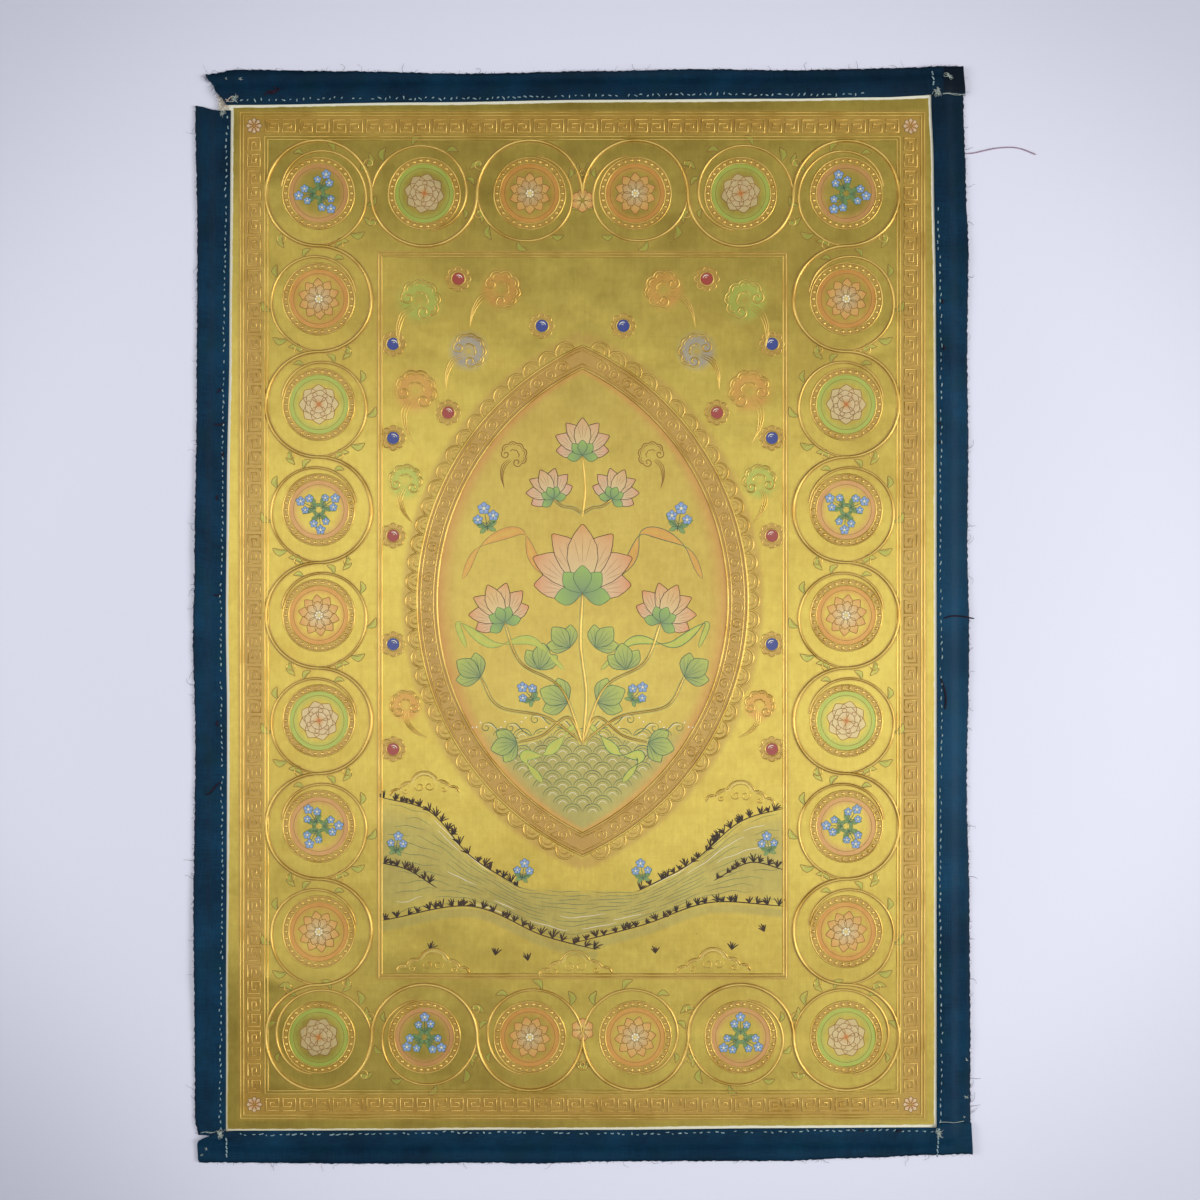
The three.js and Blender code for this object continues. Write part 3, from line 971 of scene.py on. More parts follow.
def peony(picture, middle, radius, colour, facing):
    """Three rings of broad petals that close over each other."""
    for ring, (size, count) in enumerate(((1.0, 8), (0.72, 6), (0.44, 4))):
        tints = (tinted(colour, 0.65 - 0.12 * ring), tinted(CHALK, 0.22 + 0.12 * ring))
        rosette(picture, middle, radius * size, count, tints, 1 + ring, facing + 23 * ring, 1.25)
    disc(picture, middle, radius * 0.12, [tinted(JEWEL_RED, 0.7), tinted(ORANGE, 0.7)], 4)


def small_flower(picture, middle, radius):
    """A little blue flower with five petals and a pale heart."""
    tints = (tinted(PALE_BLUE, 0.95), tinted(FLOWER_BLUE, 0.95))
    for number in range(5):
        out = turn(90 + 72 * number)
        petal(picture, middle, middle + out * radius, radius * 0.85, tints, 3, 0.7, edge=("teal", 0.2))
    disc(picture, middle, radius * 0.22, [tinted(CHALK, 1), tinted(PALE_GOLD, 1)], 4)


def sprig(picture, foot, heading, size):
    """Three blue flowers on a stalk with teal leaves."""
    for lean, reach, bloom in ((28, 0.72, 0.24), (-30, 0.66, 0.22), (0, 1.0, 0.28)):
        head = foot + heading * turn(lean) * size * reach
        stalk = flow(foot, foot + heading * size * 0.3, head)
        picture.line("teal", stalk, 0.45, 0.5, 1)
        small_flower(picture, head, size * bloom)
    for lean, reach in ((70, 0.46), (-70, 0.46), (122, 0.4), (-122, 0.4), (54, 0.72), (-56, 0.7)):
        tip = foot + heading * (turn(lean) * size * reach + size * 0.2)
        tints = (tinted(TEAL, 0.85), tinted(LEAF_GREEN, 0.7))
        petal(picture, foot + heading * size * 0.2, tip, size * 0.19, tints, 2, edge=("teal", 0.22))


def jewel(picture, middle, radius, colour):
    """A round painted jewel with a pale gleam, set in a rim of raised gold petals."""
    shade(picture, arc(middle, radius * 1.5), radius * 1.3, RUSSET, 0.45)
    disc(picture, middle, radius, [tinted(colour, 1)] * 3, 2)
    picture.line("chalk", spiral(middle, radius * 0.6, radius * 0.62, 60, 110, 0.5), 0.5, 0.5, 2)
    picture.line("chalk", arc(middle, radius * 0.3, 75, 80, 0.4), 0.35, 0.5, 2)
    picture.line("gold", arc(middle, radius * 1.12, step=1.0), 0.7, 0)
    for bearing in range(0, 360, 45):
        lobe = middle + turn(bearing) * radius * 1.5
        picture.line("gold", arc(lobe, radius * 0.52, bearing - 110, 220, 0.8), 0.6, 0.2)


def rectangle(w, h):
    """A rectangle's corners from its half sides, with the first corner again at the end."""
    return np.array([w + h * 1j, -w + h * 1j, -w - h * 1j, w - h * 1j, w + h * 1j])


def double_frame(picture, halves, shaded=True):
    """Two raised lines round a rectangle, over a soft brown shade."""
    for inset in (0, FRAME_GAP):
        corners = rectangle(halves[0] - inset, halves[1] - inset)
        for start, end in zip(corners, corners[1:]):
            picture.line("gold", straight(start, end), 0.8, 0)
    if shaded:
        reach = FRAME_GAP * 1.2
        frame_band(picture, (halves[0] + reach, halves[1] + reach), reach * 2, RUSSET, (0, 0.33, 0.33, 0))


def frame_band(picture, halves, width, colour, strengths):
    """A tinted band inside a rectangle, as four patches."""
    outer, inner = rectangle(*halves), rectangle(halves[0] - width, halves[1] - width)
    for number in range(4):
        runs = [np.linspace(*corners[number : number + 2], 110) for corners in (outer, inner)]
        grid = np.linspace(*runs, len(strengths))
        picture.fill(grid, [tinted(colour, strength) for strength in strengths], 0)


# The turns of one square key, on a grid of six by six
FRET_TURNS = ((0, 0), (6, 0), (6, 6), (0, 6), (0, 2), (4, 2), (4, 4), (2, 4))


def fret_run(picture, start, end, units, inward):
    """Square keys in pairs that face each other, along one side of the frame."""
    pitch = (end - start) / units
    heading = unit(pitch)
    size = (FRET_WIDTH - 4.2) / 6
    for number in range(units):
        facing = 1 if number % 2 else -1
        middle = start + pitch * (number + 0.5)
        corners = [middle + size * (facing * heading * (a - 3) + inward * (b - 3)) for a, b in FRET_TURNS]
        picture.line("gold", np.array(corners), 0.85, 0)


def make_border(picture):
    double_frame(picture, FRAME_HALVES)
    w, h = FRAME_HALVES[0] - 2, FRAME_HALVES[1] - 2
    frame_band(picture, (w - 0.1, h - 0.1), FRET_WIDTH + 1.6, RUSSET, (0.5, 0.5, 0.5, 0.42, 0))
    double_frame(picture, (w - FRET_WIDTH - 0.4, h - FRET_WIDTH - 0.4), shaded=False)
    middle_w, middle_h = w - FRET_WIDTH / 2, h - FRET_WIDTH / 2
    run_w, run_h = w - FRET_WIDTH, h - FRET_WIDTH
    for sign in (1, -1):
        level, upright = sign * middle_h * 1j, sign * middle_w
        fret_run(picture, -run_w + level, run_w + level, FRET_UNITS[0], -1j * sign)
        fret_run(picture, upright - run_h * 1j, upright + run_h * 1j, FRET_UNITS[1], -sign)
        for other in (1, -1):
            corner = sign * middle_w + other * middle_h * 1j
            rosette(picture, corner, FRET_WIDTH * 0.4, 8, (tinted(ORANGE, 0.7), tinted(CHALK, 0.6)), 2)


def curl_middles():
    """The right half's curls, from the top middle clockwise to the bottom middle."""
    top = [(k + 0.5) * CURL_PITCH + CURL_COLUMN * 1j for k in range(3)]
    side = [CURL_ROW + k * CURL_PITCH * 1j for k in range(3, -4, -1)]
    return np.array(top + side + [np.conj(place) for place in reversed(top)])


def scroll_leaf(picture, root, heading, size, bend):
    """A small pointed leaf of the vine, with its rib."""
    tints = (tinted(LEAF_GREEN, 0.5), tinted(SPRING_GREEN, 0.12))
    petal(picture, root, root + heading * size, size * 0.42, tints, 2, 0.8, bend)
    rib = flow(root, root + heading * size * (0.5 + 0.5j * bend), root + heading * size * 0.85)
    picture.line("fine", rib, 0.26, 0.5, 2)


def tendril(picture, root, heading, size, sense):
    """A short curling shoot."""
    heart = root + heading * size * 0.7
    start = np.degrees(np.angle(root - heart))
    picture.line("gold", spiral(heart, size * 0.7, size * 0.16, start, sense * 420, 0.9), 0.65, 0.35)


def crosses_frame(place):
    """True for places in the border's inner frame or inside the field's frame."""
    x, y = abs(place.real), abs(place.imag)
    in_field = x < FIELD_HALVES[0] + 1.5 and y < FIELD_HALVES[1] + 1.5
    clear = FRET_WIDTH + FRET_CLEAR
    return in_field or x > FRAME_HALVES[0] - clear or y > FRAME_HALVES[1] - clear


def make_vine(picture):
    """A running scroll whose stem passes outside and inside its curls in turn, with a flower in each."""
    picture.both_sides = True
    middles = curl_middles()
    radius = CURL_PITCH / 2
    joins = np.concatenate([[CURL_COLUMN * 1j], (middles[1:] + middles[:-1]) / 2, [-CURL_COLUMN * 1j]])
    for number, middle in enumerate(middles):
        sense = 1 if number % 2 else -1
        start, end = (np.degrees(np.angle(join - middle)) for join in joins[number : number + 2])
        sweep = sense * ((sense * (end - start)) % 360)
        stem = arc(middle, radius, start, sweep)
        shade(picture, stem[::2], 4.0, RUSSET, 0.5)
        picture.line("gold", stem, 1.7, 0)
        branch = spiral(middle, radius, BRANCH_RADIUS, end, sense * 260)
        shade(picture, branch[::2], 3.2, RUSSET, 0.4, 0.5)
        picture.line("gold", branch, 1.3, 0.12)
        for share in (0.14, 0.3, 0.46, 0.62, 0.78):
            at = round(share * (len(branch) - 2))
            aim = unit(branch[at + 1] - branch[at]) * 0.8 + unit(branch[at] - middle) * 0.6
            scroll_leaf(picture, branch[at], aim, 9.5 - 4 * share, -0.25 * sense)
        for share in (0.1, 0.35, 0.6, 0.85):
            at = round(share * (len(stem) - 2))
            aim = unit(stem[at + 1] - stem[at]) * 0.75 + unit(stem[at] - middle) * 0.75
            if crosses_frame(stem[at] + aim * 8):
                continue
            scroll_leaf(picture, stem[at], aim, 8.5, -0.25 * sense)
            tendril(picture, stem[at], aim * turn(-sense * 25), 4.6, -sense)
        halo(picture, middle, HALO_RADIUS, (ORANGE, SPRING_GREEN, ROSE)[number % 3])
        facing = 90 + 11 * number
        if number % 3 == 0:
            open_lotus(picture, middle, LOTUS_RADIUS, ORANGE, facing)
        elif number % 3 == 1:
            peony(picture, middle, PEONY_RADIUS, ROSE, facing)
        else:
            for spin in (0, 120, 240):
                sprig(picture, middle + turn(facing + spin) * 1.0, turn(facing + spin), 10)
    picture.both_sides = False
    for sign in (1, -1):
        heart = sign * (CURL_COLUMN - 4) * 1j
        rosette(picture, heart, 6.5, 6, (tinted(PALE_GOLD, 0.6), tinted(ORANGE, 0.8)), 3)


def lens_arc(offset, step=2.0, margin=0.0):
    """The right side of the pointed oval, at an offset outwards, from its low tip to its high one."""
    radius = LENS_RADIUS + offset
    reach = math.degrees(math.acos(LENS_BACK / radius)) - margin
    return LENS_MIDDLE - LENS_BACK + arc(0, radius, -reach, 2 * reach, step)


def inside_lens(place, offset):
    place = place - LENS_MIDDLE
    return abs(abs(place.real) + 1j * place.imag + LENS_BACK) < LENS_RADIUS + offset


def spaced(walk, count):
    """Places evenly along a line, with the line's heading in degrees at each."""
    steps = np.concatenate([[0], np.cumsum(np.abs(np.diff(walk)))])
    for number in range(count):
        at = steps[-1] * (number + 0.5) / count
        here, ahead = place_at(walk, steps, at), place_at(walk, steps, at + 1)
        yield number, here, np.degrees(np.angle(ahead - here))


def make_medallion(picture):
    """The pointed oval frame: two pairs of lines, scrolls between them, and cloud lobes round it."""
    picture.both_sides = True
    rims = lens_arc(0.6, 2.5), lens_arc(LENS_BAND - 0.6, 2.5)
    share = np.linspace(0, 1, min(len(rim) for rim in rims))
    sides = [place_at(rim, np.linspace(0, 1, len(rim)), share) for rim in rims]
    picture.fill(np.linspace(*sides, 4), [tinted(RUSSET, 0.55)] * 4, 0)
    shade(picture, lens_arc(LENS_BAND + 4.6, 2.5), 10, RUSSET, 0.35)
    for offset, width in ((0, 1.3), (2.0, 0.7), (LENS_BAND - 2.0, 0.7), (LENS_BAND, 1.3)):
        picture.line("gold", lens_arc(offset), width, 0)
    walk = lens_arc(LENS_BAND / 2, 0.5, 3)
    for number, middle, angle in spaced(walk, 2 * round(len(walk) * 0.5 / 17)):
        sense = 1 if number % 2 else -1
        picture.line("gold", spiral(middle, 3.2, 0.7, angle - 90 * sense, sense * 540, 0.9), 0.75, 0.3)
        picture.line("gold", spiral(middle, 3.2, 4.4, angle - 90 * sense, -sense * 90, 0.9), 0.65, 0.5)
    edge = lens_arc(LENS_BAND + 1.2, 0.5, 2)
    for number, middle, angle in spaced(edge, round(len(edge) * 0.5 / 10.5)):
        picture.line("gold", arc(middle, 5.1, angle, -180, 1.0), 1.0, 0)
        picture.line("gold", spiral(middle, 3.3, 0.8, angle, -420, 0.8), 0.65, 0.4)
    picture.both_sides = False


def side_lotus(picture, foot, heading, size, tip_colour, layer=3):
    """A lotus seen from its side: a fan of petals over a green cup."""
    fans = (((-80, 0.74), (80, 0.74)), ((-54, 0.92), (54, 0.92)), ((-27, 1.0), (27, 1.0)), ((0, 1.04),))
    for ring, fan in enumerate(fans):
        for lean, reach in fan:
            tip = foot + heading * turn(lean) * size * reach
            tints = (tinted(CHALK, 0.3), tinted(tip_colour, 0.85 - 0.1 * ring))
            bend = -0.12 * np.sign(lean)
            petal(picture, foot, tip, size * 0.46, tints, layer + ring, 0.82, bend, ("ink", 0.34))
            for vein in (-9, 0, 9):
                mark = foot + heading * turn(lean + vein) * size * reach * 0.8
                root = foot + heading * turn(lean + vein * 0.6) * size * reach * 0.45
                picture.line("fine", straight(root, mark, 2), 0.22, 0.8, layer + ring)
    for ring, leans in enumerate(((-100, 100), (-42, 42), (0,))):
        for lean in leans:
            tip = foot + heading * turn(lean) * size * 0.42
            tints = (tinted(TEAL, 0.8), tinted(SPRING_GREEN, 0.7))
            petal(picture, foot, tip, size * 0.27, tints, layer + 4 + ring, edge=("teal", 0.3))


def lily_leaf(picture, foot, heading, size):
    """A broad leaf of three lobes with a rolled rim and veins."""
    for step, (lean, reach, width) in enumerate(((-42, 0.86, 0.52), (42, 0.86, 0.52), (0, 1.0, 0.66))):
        tip = foot + heading * turn(lean) * size * reach
        tints = (tinted(TEAL, 0.7), tinted(SPRING_GREEN, 0.4))
        layer = 2 + step // 2
        petal(picture, foot, tip, size * width, tints, layer, 0.8, 0, ("teal", 0.36))
        for vein in (-14, 0, 14):
            mark = foot + heading * turn(lean + vein) * size * reach * 0.82
            picture.line("teal", straight(foot, mark, 2), 0.24, 0.7, layer)


def cloud(picture, middle, heading, size, colour, paint_name="gold", width=0.9):
    """A cloud head of five lobes that ends in two curls, over a tail of three lines that run together."""
    bearing = np.degrees(np.angle(heading))
    if colour:
        disc(picture, middle, size * 1.1, [tinted(colour, s) for s in (0.05, 0.2, 0.36, 0.36, 0.1, 0)], 0.5)
    for number in range(5):
        lean = (number - 2) * 40
        heart = middle + heading * turn(lean) * size * 0.58
        picture.line(paint_name, arc(heart, size * 0.3, bearing + lean - 62, 124, 0.7), width, 0)
        picture.line(paint_name, arc(heart, size * 0.17, bearing + lean - 80, 160, 0.6), width * 0.7, 0.3)
    for lean in (-48, 0, 48):
        heart = middle + heading * turn(lean) * size * 0.2
        picture.line(paint_name, arc(heart, size * 0.17, bearing + lean - 70, 140, 0.6), width * 0.8, 0.3)
    for side in (1, -1):
        heart = middle + heading * turn(118 * side) * size * 0.52
        curl = spiral(heart, size * 0.31, size * 0.07, bearing + 56 * side, side * 440, 0.7)
        picture.line(paint_name, curl, width, 0.15)
    tip = middle - heading * size * (2.1 - 0.75j)
    for side in (1, 0, -1):
        root = middle + heading * size * (0.1j * side - 0.34)
        bend = middle - heading * size * (0.95 - 0.12j * side + 0.12j)
        late = middle - heading * size * (1.6 - 0.08j * side - 0.2j)
        picture.line(paint_name, flow(root, bend, late, tip), width * 0.85, 0.5)


def ribbon(picture, places, width, colour=SPRING_GREEN):
    """A painted ribbon that turns over along its way, edged with teal lines."""
    spine = flow(*places)
    across = left_of(spine)
    share = np.linspace(0, 1, len(spine))
    twist = np.cos(3.2 * math.pi * share) * width / 2 * np.sin(math.pi * share) ** 0.4
    grid = np.array([spine + out * across * np.abs(twist) for out in (-1, 0, 1)])
    picture.fill(grid, [tinted(colour, s) for s in (0.5, 0.24, 0.5)], 1)
    for side in (-1, 1):
        picture.line("teal", spine + side * across * twist, 0.4, 0.3, 1)


def make_oval_ground(picture):
    """One thin wash inside the oval: water at its foot, duller gold above, and an orange rim."""
    rim = lens_arc(0.2, 3.2)
    rim = rim[rim.real > 0.6]
    across = np.concatenate([[-1, -0.94, -0.86], np.linspace(-0.75, 0.75, 17), [0.86, 0.94, 1]])
    grid = rim.real[:, None] * across[None, :] + 1j * rim.imag[:, None]
    water = 1 - ease(grid.imag, -72, -60)
    edge = ease(np.abs(across)[None, :] * rim.real[:, None], rim.real[:, None] - 9, rim.real[:, None])
    pure = np.stack([np.broadcast_to(np.array(c), (*grid.shape, 3)) for c in (OLD_GOLD, TEAL, ORANGE)])
    parts = np.stack([0.16 * (1 - water), 0.3 * water * (1 - edge), 0.4 * edge])
    strength = parts.sum(0)
    colour = (pure * parts[..., None]).sum(0) / strength[..., None]
    picture.fill(grid, np.dstack([colour, strength]), -0.5)


WAVE_ROWS = 15
WAVE_FOOT = -132
WAVE_RISE = 4.6
WAVE_PITCH = 11.0
WAVE_ARCS = ((5.3, "teal", 0.42), (3.8, "teal", 0.28), (2.3, "chalk", 0.26))  # radius, stroke, width


def make_waters(picture):
    """Rows of wave scales in the low part of the oval, under a row of curling crests."""
    make_oval_ground(picture)
    for row in range(WAVE_ROWS):
        y = WAVE_FOOT + row * WAVE_RISE
        for column in range(-9, 10):
            middle = (column + 0.5 * (row % 2)) * WAVE_PITCH + y * 1j
            if not inside_lens(middle, -6):
                continue
            for radius, name, width in WAVE_ARCS:
                picture.line(name, arc(middle, radius, 12, 156, 1.0), width, 0.3)
    picture.both_sides = True
    for column in range(4):
        foot = 7 + 13.5 * column + (-63 + 3 * math.sin(column * 1.9)) * 1j
        crest = flow(foot - 7 - 2j, foot - 1.5 + 1j, foot + 2.6 + 5.2j, foot + 6.2 + 5.4j)
        picture.line("teal", crest, 0.5, 0.4)
        picture.line("teal", spiral(foot + 5.6 + 2.9j, 2.6, 0.6, 90, -430, 0.6), 0.42, 0.4)
        picture.line("chalk", crest[4:] - 0.9j, 0.3, 0.5)
        for drop in range(3):
            dot = foot + 8.6 + 2.2 * drop + (5.6 - 1.7 * drop + 0.8 * math.sin(drop * 2.2 + column)) * 1j
            disc(picture, dot, 0.42, [tinted(CHALK, 0.9), tinted(CHALK, 0.9)], 0)
    picture.both_sides = False


def make_bouquet(picture):
    """Lotus flowers that rise out of the waters, with their leaves, buds and ribbons."""
    stems = (
        (-72j, 2 - 44j, -1 - 16j, 12j),
        (-70j, 12 - 40j, 34 - 26j, 43 - 4j),
        (-70j, 20 - 56j, 46 - 50j, 56 - 34j),
        (-70j, 8 - 56j, 22 - 66j, 36 - 70j),
        (0.4 + 56j, 5 + 59j, 11 + 60j, 16 + 64j),
    )
    for number, stem in enumerate(stems):
        picture.both_sides = number > 0
        run = flow(*stem)
        shade(picture, run, 3.6, TEAL, 0.35, 0.2 * number)
        picture.line("gold", run, 1.2, 0.1)
    picture.both_sides = True
    ribbon(picture, (4 - 60j, 20 - 76j, 32 - 78j, 22 - 92j), 6)
    ribbon(picture, (8 + 8j, 26 + 30j, 34 + 46j, 56 + 38j, 66 + 20j), 6, ORANGE)
    ribbon(picture, (10 - 30j, 28 - 14j, 50 - 16j, 68 - 4j, 64 - 18j), 5)
    leaves = (
        (56 - 34j, 35, 16), (36 - 70j, -15, 15), (8 - 48j, 25, 17), (24 - 30j, 100, 15), (7 - 18j, 50, 15),
    )
    for foot, bearing, size in leaves:
        lily_leaf(picture, foot, turn(bearing), size)
    side_lotus(picture, 43 - 4j, turn(66), 22, ORANGE)
    side_lotus(picture, 16 + 64j, turn(66), 17, ROSE)
    sprig(picture, 52 + 46j, turn(80), 13)
    sprig(picture, 26 - 48j, turn(50), 11)
    cloud(picture, 38 + 88j, turn(125), 8.5, None, "fine", 0.6)
    picture.both_sides = False
    side_lotus(picture, 12j, turn(90), 37, ORANGE, 4)
    picture.line("gold", flow(54j, 1.5 + 70j, 88j), 1.1, 0.2)
    side_lotus(picture, 88j, turn(90), 20, ROSE)


# Clouds: place as shares of the field's half sides, bearing in degrees, size and colour
CLOUDS = (
    (0.8, 0.87, 132, 13, SPRING_GREEN),
    (0.4, 0.9, 150, 12, ORANGE),
    (0.82, 0.62, 112, 13, ORANGE),
    (0.56, 0.73, 140, 11, FLOWER_BLUE),
    (0.87, 0.37, 100, 10.5, SPRING_GREEN),
    (0.87, -0.25, 76, 9.5, ORANGE),
)

# Jewels: place as shares of the field's half sides, and colour
JEWELS = (
    (0.61, 0.93, JEWEL_RED), (0.93, 0.75, JEWEL_BLUE), (0.2, 0.8, JEWEL_BLUE),
    (0.66, 0.56, JEWEL_RED), (0.93, 0.49, JEWEL_BLUE), (0.93, 0.22, JEWEL_RED),
    (0.93, -0.08, JEWEL_BLUE), (0.93, -0.37, JEWEL_RED),
)


def make_spandrels(picture):
    """Clouds, jewels and small flowers in the field's corners."""
    picture.both_sides = True
    w, h = FIELD_HALVES
    for x, y, lean, size, colour in CLOUDS:
        cloud(picture, x * w + y * h * 1j, turn(lean - 90) * 1j, size, colour)
    for x, y, colour in JEWELS:
        jewel(picture, x * w + y * h * 1j, 3.4, colour)
    for x, y in ((0.3, -0.735), (0.92, -0.66)):
        sprig(picture, x * w + y * h * 1j, turn(100), 10)
    picture.both_sides = False


def tuft(picture, root, size, lean):
    """Reeds that fan out of one root."""
    for number in range(5):
        spread = (number - 2) * 19 + chance.uniform(-6, 6) + lean
        tip = root + turn(90 + spread) * size * chance.uniform(0.7, 1.15)
        middle = (root + tip) / 2 + turn(90 + spread * 0.4) * size * 0.1
        picture.line("ink", flow(root, middle, tip, step=1.2), chance.uniform(0.7, 1.0), 0.9, 1)


# Banks: the upper pair, the lower pair, and two short ones between them
BANKS = (
    (-111 - 100j, -84 - 108j, -62 - 132j, -34 - 150j),
    (30 - 152j, 60 - 136j, 86 - 114j, 111 - 106j),
    (-111 - 168j, -62 - 160j, -22 - 176j, 8 - 184j),
    (-4 - 180j, 34 - 170j, 70 - 158j, 111 - 160j),
    (-111 - 136j, -96 - 140j, -80 - 150j),
    (72 - 146j, 92 - 136j, 111 - 140j),
)
REED_ROOTS = (
    -84 - 184j, -48 - 187j, 40 - 186j, 82 - 184j, -70 - 120j, 74 - 124j, -30 - 190j, 100 - 174j,
)


def make_banks(picture):
    """Low banks with reeds, across the foot of the field and beside the oval."""
    for number, bank in enumerate(BANKS):
        run = flow(*bank, step=1.0)
        if number in (2, 3):
            shade(picture, run[::2] - 3.6j, 7, TEAL, 0.2, 0.2 * number)
        picture.line("ink", run, 0.6, 0.1, 1)
        at = 2
        while at < len(run) - 2:
            tuft(picture, run[at], chance.uniform(3.2, 5.4), chance.uniform(-46, 46))
            at += int(chance.integers(3, 8))
    for root in REED_ROOTS:
        tuft(picture, root, 4.6, chance.uniform(-30, 30))


def bank_height(x, first, second):
    """The height of a pair of banks at places across the field, joined by a line between them."""
    left, right = (flow(*BANKS[number], step=2.0) for number in (first, second))
    run = np.concatenate([left[left.real < right[0].real - 1], right])
    heights = np.pad(np.interp(x, run.real, run.imag), 2, "edge")
    return np.convolve(heights, np.ones(5) / 5, "valid")


RIPPLE_ROWS = 12


def make_stream(picture):
    """Grey-green water with fine ripples between the upper and the lower banks."""
    x = np.linspace(-110, 110, 76)
    high, low = bank_height(x, 0, 1), bank_height(x, 2, 3) + 0.6
    rows = np.linspace(0, 1, 22)
    grid = x[None, :] + 1j * (high + (low - high) * rows[:, None])
    depth = ease(np.minimum(rows, 1 - rows), 0, 0.2)
    picture.fill(grid, [tinted(TEAL, 0.06 + 0.15 * part) for part in depth], -0.5)
    for number in range(RIPPLE_ROWS):
        share = (number + 0.5) / RIPPLE_ROWS
        at = -108 + chance.uniform(0, 12)
        while at < 96:
            reach = chance.uniform(12, 34)
            run = np.arange(at, min(at + reach, 109), 1.2)
            if len(run) > 5:
                above, below = np.interp(run, x, high), np.interp(run, x, low)
                y = above * (1 - share) + below * share
                sway = 0.016 * (above - below)
                y = y + sway * np.sin(run / 2.6 + number * 1.7) * np.sin(run / 11 + number)
                picture.line("teal" if chance.random() < 0.84 else "chalk", run + 1j * y, 0.26, 0.4, -0.5)
            at += reach + chance.uniform(1.5, 7)


# Heaps of cloud: middle, size and lean in degrees
CLOUD_HEAPS = (
    (-87 - 94j, 8.0, 3),
    (87 - 99j, 8.0, -3),
    (-82 - 192j, 8.5, -2),
    (-4 - 193j, 8.5, 2),
    (72 - 191.5j, 8.5, 2),
)

# A heap's lobes: place and size in the heap's own size, the arc's start and sweep, and its curls' sides
CLOUD_LOBES = (
    (0j, 1.0, 18, 144, (-1, 1)),
    (1.12 - 0.28j, 0.62, 106, -96, (1,)),
    (1.95 - 0.5j, 0.4, 123, -134, ()),
    (-1.12 - 0.28j, 0.62, 74, 96, (-1,)),
    (-1.95 - 0.5j, 0.4, 57, 134, ()),
)


def make_cloud_banks(picture):
    """Raised lobes of cloud that stand over the upper banks and along the foot of the field."""
    for middle, size, lean in CLOUD_HEAPS:
        for number, (offset, share, start, sweep, curls) in enumerate(CLOUD_LOBES):
            heart, radius = middle + offset * turn(lean) * size, size * share
            picture.line("gold", arc(heart, radius, start + lean, sweep, 1.0), 1.0, 0.04)
            inner = arc(heart, radius * 0.76, start + lean + sweep * 0.06, sweep * 0.88, 1.0)
            picture.line("gold", inner, 0.55, 0.3)
            below = arc(heart, radius * 0.88, start + lean, sweep, 1.2)
            shade(picture, below, 2.2, PALE_GOLD, 0.3, 0.4 * number)
            for side in curls:
                eye = heart + turn(lean) * radius * (0.34 * side - 0.02j)
                curl = spiral(eye, radius * 0.34, radius * 0.08, lean + 90 - 70 * side, side * -400, 0.6)
                picture.line("gold", curl, 0.6, 0.3)


def make_painting():
    picture = Painting()
    make_border(picture)
    make_vine(picture)
    paints = tinted_paint()
    picture.make_tints("tinted_border_patches", paints)
    double_frame(picture, FIELD_HALVES)
    make_medallion(picture)
    make_waters(picture)
    make_bouquet(picture)
    make_spandrels(picture)
    make_stream(picture)
    make_cloud_banks(picture)
    make_banks(picture)
    picture.make_tints("tinted_field_patches", paints)
    gold = drawn_line(*STROKES["gold"])
    picture.make_raised("raised_gold_lines", "gold", gold, 0.2)
    picture.make_beads("raised_gold_beads", gold)
    picture.make_flat("fine_outlines", "fine")
    picture.make_flat("teal_lines", "teal")
    picture.make_flat("brown_ink_strokes", "ink")
    picture.make_flat("chalk_lines", "chalk")


# Sewing, frays and left-over threads

# How far along each strip its sewing runs, the usual step, how far the stitches lean, and how far
# outside the strip's inner edge they lie
SEAMS = {
    "left": (4, 561, 3.3, 14, 2.4),
    "right": (17, 521, 3.9, 10, 2.1),
    "top": (6, 356, 3.5, 38, 2.1),
    "bottom": (15, 404, 3.8, 16, 1.5),
}

# Left-over purple threads: the strip, and places in millimetres that each passes
LEFT_OVERS = [
    ("left", (-198, 124.5), (-199.6, 123.4), (-200.2, 122.0)),
    ("left", (-196.4, 105.6), (-199.0, 104.6), (-202.3, 105.0)),
    ("left", (-196.9, 90.0), (-197.6, 88.6), (-197.0, 87.2)),
    ("left", (-200.3, 66.0), (-200.9, 64.4), (-200.0, 63.2)),
    ("left", (-198.2, 11.8), (-200.6, 10.6), (-202.4, 11.4)),
    ("left", (-199.8, -57.9), (-200.9, -59.4), (-200.2, -61.0)),
    ("left", (-207.2, -98.9), (-204.0, -96.9), (-201.4, -93.8), (-198.7, -91.6)),
    ("right", (197.0, 173.4), (197.9, 172.2), (197.2, 171.0)),
    ("right", (197.8, 148.2), (198.8, 147.0), (198.0, 145.6)),
    ("right", (195.8, 106.2), (196.2, 104.6)),
    ("right", (195.8, 95.8), (196.3, 94.2)),
    ("right", (198.4, -1.6), (203.0, -0.4), (208.6, -0.6), (213.0, -1.4), (215.6, -1.8)),
    ("right", (196.6, -34.6), (198.4, -39.6), (199.4, -45.2), (199.0, -51.6)),
    ("bottom", (152.0, -283.6), (153.0, -282.8), (154.2, -283.4)),
    ("bottom", (172.4, -283.8), (174.0, -282.8), (175.6, -283.4)),
    ("top", (-174.6, 285.4), (-171.6, 288.0), (-168.8, 287.0), (-166.0, 289.4)),
    ("top", (-173.2, 287.4), (-170.4, 286.2), (-168.2, 289.0), (-169.6, 290.2)),
    ("top", (-171.8, 286.8), (-169.0, 288.2), (-167.4, 287.6)),
]

